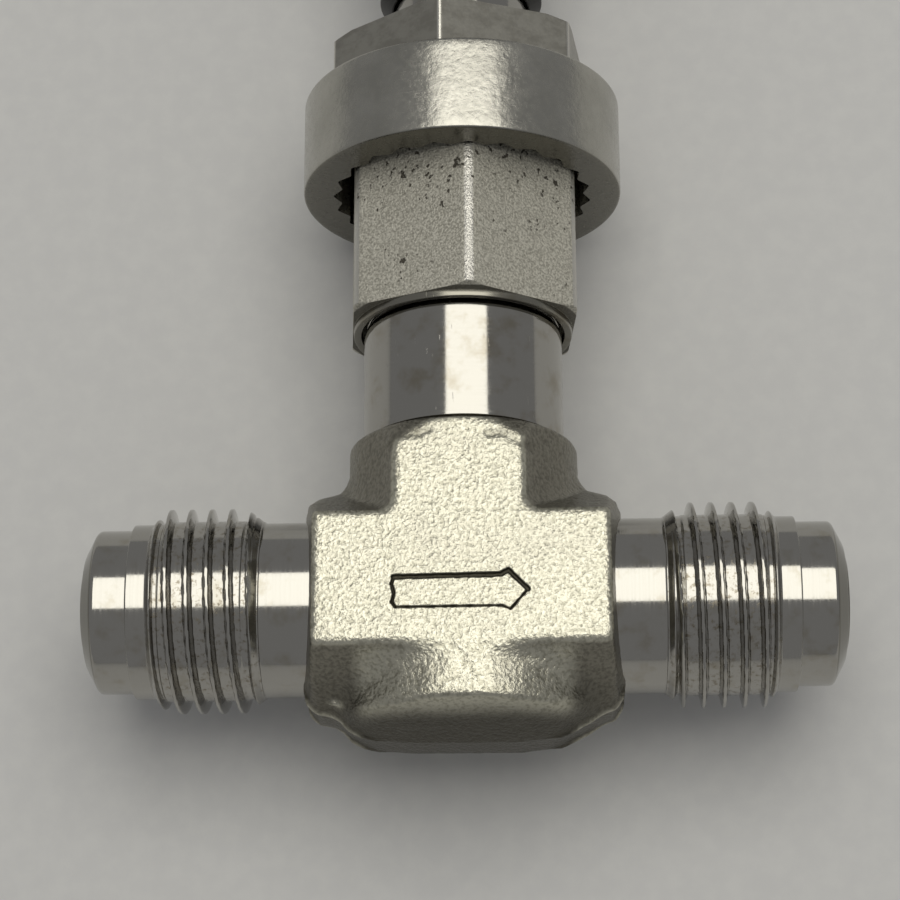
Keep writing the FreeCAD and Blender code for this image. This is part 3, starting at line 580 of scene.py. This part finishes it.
def barrel(material):
    """Bonnet with the thread of its barrel and the spigot under the graduated sleeve."""
    def shape(angle, radius, height):
        depth = thread_depth(angle, height, INCH / 20, 0.62, 0.4)
        foot = smooth_step(height, NUT_TOP, NUT_TOP + 0.4)
        top = smooth_step(height, BARREL_TOP - 0.5, BARREL_TOP - 0.15)
        on_thread = (radius > 5.21) & (height > 36)
        return np.where(on_thread, radius - depth * foot * (1 - top), radius)

    lathe("bonnet_turned", [
        (3.45, 40.0), (3.45, 56.7), (4.2, 56.7), (4.2, BARREL_TOP), (5.2, BARREL_TOP),
        (BARREL_RADIUS, BARREL_TOP - 0.35, 0.05), (BARREL_RADIUS, NUT_TOP), (5.2, NUT_TOP), (5.2, 33.2),
        (6.4, 33.2, 0.1), (6.4, 31.2, 0.1), (2.0, 31.2), (2.0, 40.0),
    ], "root", material, segments=160, step=0.08, shape=shape, replaces=("bonnet",))


def bellows(material):
    """Folded tube from the collar on the stem to the weld ring."""
    waves, inner, outer, wall = 10, 2.9, 4.3, 0.15
    wave = (BELLOWS_TOP - BELLOWS_FOOT) / waves
    inside, outside = [], []
    for i in range(waves):
        foot = BELLOWS_FOOT + i * wave
        inside += [(inner, foot, 0.15), (outer - wall, foot + wave / 2, 0.15)]
        outside += [(inner + wall, foot, 0.15), (outer, foot + wave / 2, 0.15)]
    inside.append((inner, BELLOWS_TOP))
    outside.append((inner + wall, BELLOWS_TOP))
    piece = lathe("bellows_folded", inside + outside[::-1], None, material, segments=96,
                  replaces=("bellows",), sharp=None)
    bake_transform(piece)


# Handle

def thimble(material):
    """Sleeve with a bevelled foot, under the grip."""
    lathe("thimble_turned", [
        (5.1, THIMBLE_FOOT), (5.2, THIMBLE_FOOT, 0.04), (THIMBLE_RADIUS, THIMBLE_FOOT + 0.6, 0.1),
        (THIMBLE_RADIUS, THIMBLE_TOP), (5.1, THIMBLE_TOP),
    ], "handle", material, segments=192, replaces=("thimble",))


def knurled(angle, radius, height):
    """Diamond knurl on the grip's outer face, above and below a plain band for the screws."""
    teeth, depth = 56, 0.3
    pitch = TURN * GRIP_RADIUS / teeth
    across = angle * teeth / TURN
    up = height / pitch
    one = np.abs((across + up) % 1 - 0.5) * 2
    other = np.abs((across - up) % 1 - 0.5) * 2
    cut = depth * (1 - np.minimum(one, other))
    knurls = band(height, 62.6, 66.4, 0.35) + band(height, 70.0, 74.55, 0.35)
    plain = depth * band(height, 66.3, 70.1, 0.3)
    outer = radius > GRIP_RADIUS - 0.2
    return np.where(outer, radius - cut * knurls - plain, radius)


def grip(material):
    """Knurled grip with three round holes for the set screws."""
    piece = lathe("grip_knurled", [
        (THIMBLE_RADIUS, GRIP_FOOT), (7.4, GRIP_FOOT, 0.25), (7.4, GRIP_FOOT + 1.4, 0.15),
        (8.7, GRIP_FOOT + 1.4, 0.2), (GRIP_RADIUS, GRIP_FOOT + 2.2, 0.2), (GRIP_RADIUS, GRIP_TOP - 0.8, 0.2),
        (8.7, GRIP_TOP, 0.2), (7.05, GRIP_TOP, 0.1), (7.05, HUB_TOP), (5.1, HUB_TOP), (5.1, THIMBLE_TOP),
        (THIMBLE_RADIUS, THIMBLE_TOP),
    ], "handle", material, segments=448, step=0.13, shape=knurled, replaces=("grip",))
    cut = bpy.data.meshes.new("screw_holes")
    work = bmesh.new()
    for third in range(3):
        spin = Matrix.Rotation(third * TURN / 3, 4, "Y")
        place = spin @ Matrix.Translation((0, SCREW_LEVEL * MM, 7.5 * MM))
        bmesh.ops.create_cone(work, segments=40, radius1=1.28 * MM, radius2=1.28 * MM, depth=6 * MM,
                              cap_ends=True, matrix=place)
    work.to_mesh(cut)
    work.free()
    cutter = bpy.data.objects.new("screw_holes", cut)
    bpy.context.scene.collection.objects.link(cutter)
    holes = piece.modifiers.new("screw_holes", "BOOLEAN")
    holes.operation = "DIFFERENCE"
    holes.object = cutter
    holes.solver = "EXACT"
    bpy.context.view_layer.update()
    shown = bpy.data.meshes.new_from_object(piece.evaluated_get(bpy.context.evaluated_depsgraph_get()))
    piece.modifiers.clear()
    piece.data = shown
    piece.data.set_sharp_from_angle(angle=math.radians(35))
    bpy.data.objects.remove(cutter)


def set_screws(material):
    """Three screws with hexagon sockets, built along the stem axis and turned to their places."""
    def shape(angle, radius, height):
        return np.where(np.abs(radius - 0.7) < 0.02, hexagon_radius(angle, 1.27, 0.02), radius)

    for third in range(3):
        piece = lathe(f"set_screw_{third + 1}", [
            (0, 2.35), (1.25, 2.35), (1.25, 8.85, 0.05), (1.1, 9.0, 0.02), (0.7, 9.0), (0.7, 7.3), (0, 7.0),
        ], "handle", material, closed=False, segments=48, step=0.6, shape=shape,
            replaces=("set_screws",) if third == 0 else ())
        upright = Matrix.Rotation(math.pi / 2, 4, "X")
        spin = Matrix.Rotation(third * TURN / 3, 4, "Y")
        piece.data.transform(Matrix.Translation((0, SCREW_LEVEL * MM, 0)) @ spin @ upright)


def end_cap(material):
    """Disc in the grip's end, with a shallow dish and a round island in it."""
    rim = GRIP_TOP - 0.05
    lathe("end_cap_turned", [
        (0, HUB_TOP), (6.97, HUB_TOP), (6.97, rim, 0.1), (6.2, rim, 0.1), (5.9, rim - 0.25, 0.1),
        (3.4, rim - 0.25, 0.1), (3.2, rim - 0.15, 0.05), (0, rim - 0.15),
    ], "handle", material, closed=False, replaces=("end_cap",))


# Scale marks and numbers

DIVISIONS = 25
TURNS_OPEN = 5
DRIVE_PITCH = INCH / 40


def around(points_flat, radius, height, turn):
    """Points drawn flat, wrapped round the stem axis with their middle at the given turn."""
    angle = turn + points_flat[:, 0] / radius
    return np.stack([radius * np.sin(angle), height + points_flat[:, 1], radius * np.cos(angle)], axis=-1)


def strip(radius, height, turn, wide, tall, pieces=12):
    """Points and faces of a thin painted mark on a cylinder."""
    edge = np.linspace(-wide / 2, wide / 2, pieces + 1)
    flat = np.concatenate([np.stack([edge, np.full_like(edge, s * tall / 2)], axis=-1) for s in (-1, 1)])
    faces = [(i, i + 1, pieces + 2 + i, pieces + 1 + i) for i in range(pieces)]
    return around(flat, radius, height, turn), faces


def joined(parts):
    """One list of points and faces from several."""
    points, faces = [], []
    for some_points, some_faces in parts:
        start = sum(len(p) for p in points)
        points.append(some_points)
        faces += [tuple(i + start for i in face) for face in some_faces]
    return np.concatenate(points), faces


def number(text, size, radius, height, turn):
    """Points and faces of a plain number wrapped on a cylinder."""
    curve = bpy.data.curves.new("number", "FONT")
    curve.body = text
    curve.size = size
    curve.align_x = "CENTER"
    curve.align_y = "CENTER"
    thing = bpy.data.objects.new("number", curve)
    bpy.context.scene.collection.objects.link(thing)
    bpy.context.view_layer.update()
    mesh = bpy.data.meshes.new_from_object(thing.evaluated_get(bpy.context.evaluated_depsgraph_get()))
    flat = np.array([v.co[:2] for v in mesh.vertices])
    faces = [tuple(p.vertices) for p in mesh.polygons]
    bpy.data.objects.remove(thing)
    bpy.data.meshes.remove(mesh)
    return around(flat, radius, height, turn), faces


def thimble_marks(material):
    """Twenty-five divisions round the thimble's foot, numbered by fives."""
    parts = []
    for i in range(DIVISIONS):
        turn = i * TURN / DIVISIONS
        fifth = i % 5 == 0
        tall = 1.9 if fifth else 1.1
        middle = THIMBLE_FOOT + 0.75 + tall / 2
        parts.append(strip(THIMBLE_RADIUS + 0.015, middle, turn, 0.14, tall, pieces=2))
        if fifth:
            parts.append(number(str(i), 1.9, THIMBLE_RADIUS + 0.03, THIMBLE_FOOT + 3.9, turn))
    points, faces = joined(parts)
    mesh_piece("thimble_marks", points, faces, "handle", material)


def sleeve_marks(material):
    """Index line and one line for each turn on the graduated sleeve."""
    radius = SLEEVE_RADIUS + 0.012
    parts = [strip(radius, 48.4, 0, 0.12, 7.0, pieces=2)]
    for turns in range(TURNS_OPEN + 1):
        parts.append(strip(radius, THIMBLE_FOOT + DRIVE_PITCH * turns, 0.22, 2.0, 0.1))
    points, faces = joined(parts)
    mesh_piece("sleeve_marks", points, faces, "root", material)


# Materials

class Nodes:
    """Short ways to add shader nodes to one material."""

    def __init__(self, name, metallic, roughness):
        self.material = bpy.data.materials.new(name)
        self.material.use_nodes = True
        self.tree = self.material.node_tree
        self.shader = self.tree.nodes["Principled BSDF"]
        self.shader.inputs["Metallic"].default_value = metallic
        self.shader.inputs["Roughness"].default_value = roughness
        self.place = self.add("ShaderNodeTexCoord").outputs["Object"]

    def add(self, kind, **settings):
        node = self.tree.nodes.new(kind)
        for name, setting in settings.items():
            setattr(node, name, setting)
        return node

    def link(self, source, target):
        """Socket joined to a target, or a number set on it."""
        if hasattr(source, "is_output"):
            self.tree.links.new(source, target)
        else:
            target.default_value = source

    def stretched(self, per_mm):
        """Coordinates in cells, with a count per millimetre along each axis."""
        node = self.add("ShaderNodeMapping")
        node.inputs["Scale"].default_value = [n / MM for n in per_mm]
        self.tree.links.new(self.place, node.inputs["Vector"])
        return node.outputs["Vector"]

    def noise(self, per_mm, detail=3.0, roughness=0.55, seed=0.0):
        node = self.add("ShaderNodeTexNoise", noise_dimensions="4D")
        self.tree.links.new(self.stretched(per_mm), node.inputs["Vector"])
        node.inputs["W"].default_value = seed
        node.inputs["Scale"].default_value = 1.0
        node.inputs["Detail"].default_value = detail
        node.inputs["Roughness"].default_value = roughness
        return node.outputs["Fac"]

    def between(self, value, low, high, to_low=0.0, to_high=1.0):
        """Value carried smoothly from one range to another."""
        node = self.add("ShaderNodeMapRange", interpolation_type="SMOOTHSTEP")
        self.link(value, node.inputs["Value"])
        for name, setting in (("From Min", low), ("From Max", high), ("To Min", to_low), ("To Max", to_high)):
            node.inputs[name].default_value = setting
        return node.outputs["Result"]

    def math(self, operation, one, other=0.0):
        node = self.add("ShaderNodeMath", operation=operation)
        self.link(one, node.inputs[0])
        self.link(other, node.inputs[1])
        return node.outputs[0]

    def mixed(self, share, one, other):
        """Colour between two others."""
        node = self.add("ShaderNodeMix", data_type="RGBA")
        self.link(share, node.inputs["Factor"])
        for colour, socket in ((one, node.inputs["A"]), (other, node.inputs["B"])):
            if isinstance(colour, tuple):
                socket.default_value = (*colour, 1)
            else:
                self.tree.links.new(colour, socket)
        return node.outputs["Result"]

    def bumped(self, height, depth_mm, strength=1.0, base=None):
        node = self.add("ShaderNodeBump")
        node.inputs["Strength"].default_value = strength
        node.inputs["Distance"].default_value = depth_mm * MM
        self.tree.links.new(height, node.inputs["Height"])
        if base is not None:
            self.tree.links.new(base, node.inputs["Normal"])
        return node.outputs["Normal"]

    def coordinates(self):
        """The three coordinates in the row frame, in metres."""
        parts = self.add("ShaderNodeSeparateXYZ")
        self.tree.links.new(self.place, parts.inputs[0])
        return parts.outputs

    def height(self):
        """Height along the stem axis, in millimetres."""
        return self.math("MULTIPLY", self.coordinates()["Y"], 1 / MM)

    def reach(self):
        """Distance from the stem axis along the flow axis, in millimetres."""
        return self.math("ABSOLUTE", self.math("MULTIPLY", self.coordinates()["X"], 1 / MM))

    def radius_from(self, axis):
        """Distance from the flow axis or the stem axis, in millimetres."""
        parts = self.coordinates()
        names = ("Y", "Z") if axis == "X" else ("X", "Z")
        squares = [self.math("POWER", parts[n], 2.0) for n in names]
        total = self.math("ADD", *squares)
        return self.math("MULTIPLY", self.math("SQRT", total), 1 / MM)

    def attribute(self, name):
        return self.add("ShaderNodeAttribute", attribute_name=name).outputs["Fac"]

    def finish(self, colour=None, roughness=None, normal=None):
        for source, name in ((colour, "Base Color"), (roughness, "Roughness"), (normal, "Normal")):
            if source is not None:
                self.tree.links.new(source, self.shader.inputs[name])
        return self.material


def forged_steel():
    """Bead-blasted forging: fine grain, bright pads, and painted shade on the sides, the foot, the arrow and
    the wrinkles.
    """
    make = Nodes("forged_steel", 1.0, 0.45)
    grain = make.noise((3.6, 3.6, 3.6), detail=2.0, roughness=0.5)
    fine = make.noise((8, 8, 8), detail=2.0, seed=2.0)
    broad = make.noise((0.25, 0.25, 0.25), detail=3.0, seed=4.0)
    tint = make.mixed(make.between(grain, 0.34, 0.56), (0.43, 0.415, 0.335), (0.64, 0.622, 0.52))
    worn = make.mixed(make.between(broad, 0.45, 0.7, 0.0, 0.35), tint, (0.50, 0.48, 0.41))
    # Painted shade: the sides are painted dark, and darker still towards the foot face
    painted_side_shade = make.mixed(make.between(grain, 0.34, 0.6), (0.18, 0.17, 0.14), (0.26, 0.247, 0.205))
    painted_shade = make.mixed(make.between(make.height(), -9.6, -4.5, 0.8, 0.0), painted_side_shade, (0.05, 0.047, 0.038))
    # Unshaded colour where the mask is high, painted shade elsewhere
    bare_and_painted_shade = make.mixed(make.attribute("brightened"), painted_shade, worn)
    # Painted shade in the arrow's groove and the wrinkles, which are also made rougher
    painted_groove_shade = make.attribute("painted_groove_shade")
    colour = make.mixed(painted_groove_shade, bare_and_painted_shade, (0.07, 0.065, 0.05))
    soft = make.bumped(grain, 0.095, 1.0)
    normal = make.bumped(fine, 0.018, 0.8, base=soft)
    rough = make.math("ADD", make.between(fine, 0.3, 0.7, 0.30, 0.42), make.math("MULTIPLY", painted_groove_shade, 0.2))
    return make.finish(colour, rough, normal)


def turned_steel(name, base=(0.39, 0.38, 0.355), dullness=0.0):
    """Machined steel with fine turning marks round the stem axis, faint stains and scratches."""
    make = Nodes(name, 1.0, 0.1)
    rings = make.noise((0.12, 7.0, 0.12), detail=4.0)
    stain = make.noise((0.5, 0.5, 0.5), detail=4.0, seed=3.0)
    lines = make.noise((4.5, 0.5, 4.5), detail=2.0, seed=7.0)
    scratched = make.between(lines, 0.68, 0.71)
    stained = tuple(c * f for c, f in zip(base, (0.8, 0.76, 0.68)))
    colour = make.mixed(make.between(stain, 0.48, 0.72), base, stained)
    smooth = make.between(rings, 0.3, 0.75, 0.06 + dullness, 0.14 + dullness)
    rough = make.math("ADD", smooth, make.math("MULTIPLY", scratched, 0.2))
    rings_bump = make.bumped(rings, 0.007, 0.8)
    normal = make.bumped(scratched, 0.004, 0.6, base=rings_bump)
    return make.finish(colour, rough, normal)


def threaded_steel():
    """Machined end: turning marks round the flow axis, a darker bevel and end face, and brown dirt low in the
    thread.
    """
    make = Nodes("threaded_steel", 1.0, 0.1)
    rings = make.noise((7.0, 0.12, 0.12), detail=4.0)
    stain = make.noise((0.7, 0.7, 0.7), detail=4.0, seed=3.0)
    speck = make.noise((2.6, 2.6, 2.6), detail=4.0, roughness=0.7, seed=13.0)
    radius = make.radius_from("X")
    below_crest = make.between(radius, RELIEF_RADIUS + 0.15, THREAD_CREST - 0.24, 1.0, 0.0)
    above_relief = make.between(radius, RELIEF_RADIUS + 0.02, RELIEF_RADIUS + 0.08)
    low = make.math("MULTIPLY", below_crest, above_relief)
    patchy = make.math("MULTIPLY", low, make.between(speck, 0.5, 0.66, 0.0, 0.75))
    clean = make.mixed(make.between(stain, 0.5, 0.75), (0.40, 0.39, 0.365), (0.34, 0.32, 0.275))
    bevel = make.between(make.reach(), NOSE_EDGE - 0.02, NOSE_EDGE + 0.04)
    colour = make.mixed(patchy, make.mixed(bevel, clean, (0.2, 0.193, 0.17)), (0.2, 0.17, 0.12))
    rough = make.math("ADD", make.between(rings, 0.3, 0.75, 0.07, 0.16), make.math("MULTIPLY", patchy, 0.25))
    return make.finish(colour, rough, make.bumped(rings, 0.005, 0.8))


def nut_steel():
    """Blasted hexagon: fine grain, pits thickest under the ring, corners worn bright, and painted shade on
    the foot face.
    """
    make = Nodes("nut_steel", 0.55, 0.5)
    grain = make.noise((6.2, 6.2, 6.2), detail=3.0, roughness=0.6)
    broad = make.noise((0.35, 0.35, 0.35), detail=3.0, seed=5.0)
    high = make.between(make.height(), 25.5, 31.0, 0.0, 0.16)
    pits = make.between(make.noise((2.1, 1.8, 2.1), detail=2.0, seed=9.0), 0.61, 0.66)
    pitted = make.math("MULTIPLY", pits, make.between(make.math("ADD", broad, high), 0.52, 0.62))
    brightened = make.between(make.radius_from("Y"), 8.945, 8.985)
    tint = make.mixed(make.between(grain, 0.36, 0.64), (0.36, 0.345, 0.295), (0.68, 0.66, 0.58))
    bright = make.mixed(brightened, tint, (0.64, 0.625, 0.58))
    # Painted shade: the foot face outside the washer is painted as dark as the pits
    low = make.between(make.height(), NUT_FOOT - 0.02, NUT_FOOT + 0.04, 1.0, 0.0)
    past_washer = make.between(make.radius_from("Y"), WASHER_RADIUS + 0.01, WASHER_RADIUS + 0.04)
    foot = make.math("MULTIPLY", low, past_washer)
    colour = make.mixed(make.math("MAXIMUM", pitted, foot), bright, (0.09, 0.082, 0.065))
    rough = make.between(brightened, 0, 1, 0.5, 0.28)
    make.link(make.between(brightened, 0, 1, 0.55, 1.0), make.shader.inputs["Metallic"])
    soft = make.bumped(grain, 0.09, 1.0)
    normal = make.bumped(make.math("MULTIPLY", pitted, -1.0), 0.08, 1.0, base=soft)
    return make.finish(colour, rough, normal)


def satin_nut_steel():
    """Thin nut: smooth satin hexagon with faint stains and corners worn bright."""
    make = Nodes("satin_nut_steel", 0.85, 0.35)
    grain = make.noise((4, 4, 4), detail=3.0)
    stain = make.noise((0.6, 0.9, 0.6), detail=5.0, roughness=0.65, seed=12.0)
    brightened = make.between(make.radius_from("Y"), 9.985, 10.01)
    tint = make.mixed(make.between(stain, 0.4, 0.62), (0.35, 0.34, 0.305), (0.28, 0.27, 0.24))
    colour = make.mixed(brightened, tint, (0.6, 0.585, 0.54))
    satin = make.between(grain, 0.3, 0.7, 0.33, 0.4)
    rough = make.math("SUBTRACT", satin, make.math("MULTIPLY", brightened, 0.15))
    return make.finish(colour, rough, make.bumped(grain, 0.008, 0.6))


def ring_steel():
    """Satin ring with tumbled, mottled grain and light scratches, and painted shade on its foot face."""
    make = Nodes("ring_steel", 1.0, 0.2)
    grain = make.noise((1.9, 1.9, 1.9), detail=4.0, roughness=0.6)
    broad = make.noise((0.3, 0.3, 0.3), detail=3.0, seed=8.0)
    streak = make.noise((0.5, 9.0, 0.5), detail=2.0, seed=6.0)
    scratched = make.between(streak, 0.68, 0.72)
    outer = make.mixed(make.between(broad, 0.35, 0.65), (0.39, 0.382, 0.345), (0.45, 0.44, 0.40))
    # Painted shade: the ring's foot face is painted dark
    above_shaded_foot = make.between(make.height(), RING_FOOT + 0.02, RING_FOOT + 0.1)
    colour = make.mixed(above_shaded_foot, (0.2, 0.194, 0.17), outer)
    satin = make.between(grain, 0.3, 0.7, 0.18, 0.30)
    rough = make.math("ADD", satin, make.math("MULTIPLY", scratched, 0.12))
    soft = make.bumped(grain, 0.036, 0.9)
    normal = make.bumped(scratched, 0.003, 0.6, base=soft)
    return make.finish(colour, rough, normal)


def black_anodised():
    """Satin black anodised aluminium with faint dust and the knurl's crests worn lighter."""
    make = Nodes("black_anodised", 0.2, 0.4)
    grain = make.noise((8, 8, 8), detail=2.0)
    dust = make.noise((0.4, 0.4, 0.4), detail=5.0, seed=1.0)
    colour = make.mixed(make.between(dust, 0.45, 0.75), (0.018, 0.018, 0.019), (0.035, 0.034, 0.032))
    crests = make.between(make.radius_from("Y"), GRIP_RADIUS - 0.12, GRIP_RADIUS + 0.02, 0.0, 0.5)
    brightened = make.mixed(crests, colour, (0.09, 0.088, 0.085))
    return make.finish(brightened, make.between(dust, 0.3, 0.7, 0.32, 0.48), make.bumped(grain, 0.006, 0.5))


def black_screw():
    """Black oxide, slightly uneven."""
    make = Nodes("black_screw", 0.6, 0.35)
    grain = make.noise((6, 6, 6), detail=3.0)
    colour = make.mixed(make.between(grain, 0.4, 0.7), (0.03, 0.03, 0.032), (0.06, 0.058, 0.055))
    return make.finish(colour, make.between(grain, 0.3, 0.7, 0.28, 0.45), make.bumped(grain, 0.008, 0.5))


def brass():
    """Turned brass with marks round the stem axis."""
    make = Nodes("brass", 1.0, 0.25)
    rings = make.noise((0.15, 7.0, 0.15), detail=4.0)
    colour = make.mixed(make.between(rings, 0.35, 0.65), (0.62, 0.45, 0.2), (0.74, 0.57, 0.3))
    return make.finish(colour, make.between(rings, 0.3, 0.7, 0.18, 0.32), make.bumped(rings, 0.004, 0.7))


def paint(name, colour):
    """Filled paint of the marks and numbers, slightly uneven."""
    make = Nodes(name, 0.0, 0.5)
    uneven = make.noise((2.5, 2.5, 2.5), detail=3.0)
    shade = make.mixed(make.between(uneven, 0.4, 0.75), colour, tuple(c * 0.8 for c in colour))
    return make.finish(shade, make.between(uneven, 0.3, 0.7, 0.42, 0.58), make.bumped(uneven, 0.003, 0.5))


def floor_material():
    """Plain pale card with a faint fibre."""
    make = Nodes("floor_card", 0.0, 0.75)
    fibre = make.noise((0.6, 0.6, 0.6), detail=5.0)
    colour = make.mixed(make.between(fibre, 0.35, 0.7), (0.66, 0.66, 0.66), (0.69, 0.69, 0.685))
    return make.finish(colour, None, make.bumped(fibre, 0.02, 0.4))


# Pieces

forged = forged_steel()
threaded = threaded_steel()
turned = turned_steel("turned_steel")
black = black_anodised()
yellow = brass()

forging_skin(forged)
flow_end("inlet_end", -1, 0.74, threaded)
flow_end("outlet_end", 1, 0.18, threaded)
neck(turned)
union_nut(nut_steel())
# Washer face in a duller copy of the turned steel, its darker colour painted shade round the nut's mouth
washer_face(turned_steel("dull_painted_shade_steel", (0.27, 0.26, 0.225), dullness=0.16))
lock_ring(ring_steel())
thin_nut(satin_nut_steel())
barrel(turned)
bellows(turned)
thimble(black)
grip(black)
set_screws(black_screw())
end_cap(black)
thimble_marks(paint("white_paint", (0.75, 0.75, 0.72)))
sleeve_marks(paint("black_paint", (0.03, 0.03, 0.03)))

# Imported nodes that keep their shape, with their materials
CARRIED = {
    "bonnet_gasket": turned, "weld_ring": turned, "scale_sleeve": turned, "stem": turned,
    "stem_tip": turned, "bellows_collar": turned, "anti_rotation_pin": turned, "retaining_ring": turned,
    "thrust_ball": turned, "actuator": turned, "drive_nut": yellow, "handle_hub": yellow,
}
for node, material in CARRIED.items():
    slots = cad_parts[node].data.materials
    slots.clear()
    slots.append(material)


# Floor, light and camera

def floor():
    """Level floor that the lock ring rests on."""
    low = TABLE_LEVEL * MM
    reach = 1.2
    mesh = bpy.data.meshes.new("floor")
    mesh.from_pydata([(-reach, -reach, low), (reach, -reach, low), (reach, reach, low), (-reach, reach, low)],
                     [], [(0, 1, 2, 3)])
    mesh.materials.append(floor_material())
    thing = bpy.data.objects.new("floor", mesh)
    bpy.context.scene.collection.objects.link(thing)


def soft_box(name, place, wide, deep, power, colour):
    """Rectangular area light that faces straight down."""
    light = bpy.data.lights.new(name, "AREA")
    light.shape = "RECTANGLE"
    light.size = wide
    light.size_y = deep
    light.energy = power
    light.color = colour
    thing = bpy.data.objects.new(name, light)
    thing.location = place
    bpy.context.scene.collection.objects.link(thing)


def studio(level):
    """Even grey surroundings."""
    world = bpy.data.worlds.new("studio")
    world.use_nodes = True
    world.node_tree.nodes["Background"].inputs["Color"].default_value = (level, level, level, 1)
    bpy.context.scene.world = world


def camera(place, lens, turns):
    """Camera at a place in metres, turned about each axis in turn, in radians."""
    settings = bpy.data.cameras.new("camera")
    settings.sensor_width = 36.0
    settings.lens = lens
    settings.clip_start = 0.01
    thing = bpy.data.objects.new("camera", settings)
    tilt, swing, roll = turns
    aim = Euler((tilt, 0, 0)).to_matrix() @ Euler((0, swing, 0)).to_matrix() @ Euler((0, 0, roll)).to_matrix()
    thing.matrix_world = Matrix.Translation(place) @ aim.to_4x4()
    bpy.context.scene.collection.objects.link(thing)
    bpy.context.scene.camera = thing


floor()
soft_box("overhead", (0.066, 0.145, 0.6), wide=0.53, deep=0.51, power=1.9, colour=(1.0, 0.975, 0.89))
studio(0.27)
camera((0.0048953, -0.0527536, 0.1787261), lens=106.756, turns=(0.346298, 0.030867, -0.015129))
bpy.context.scene.view_settings.view_transform = "Standard"
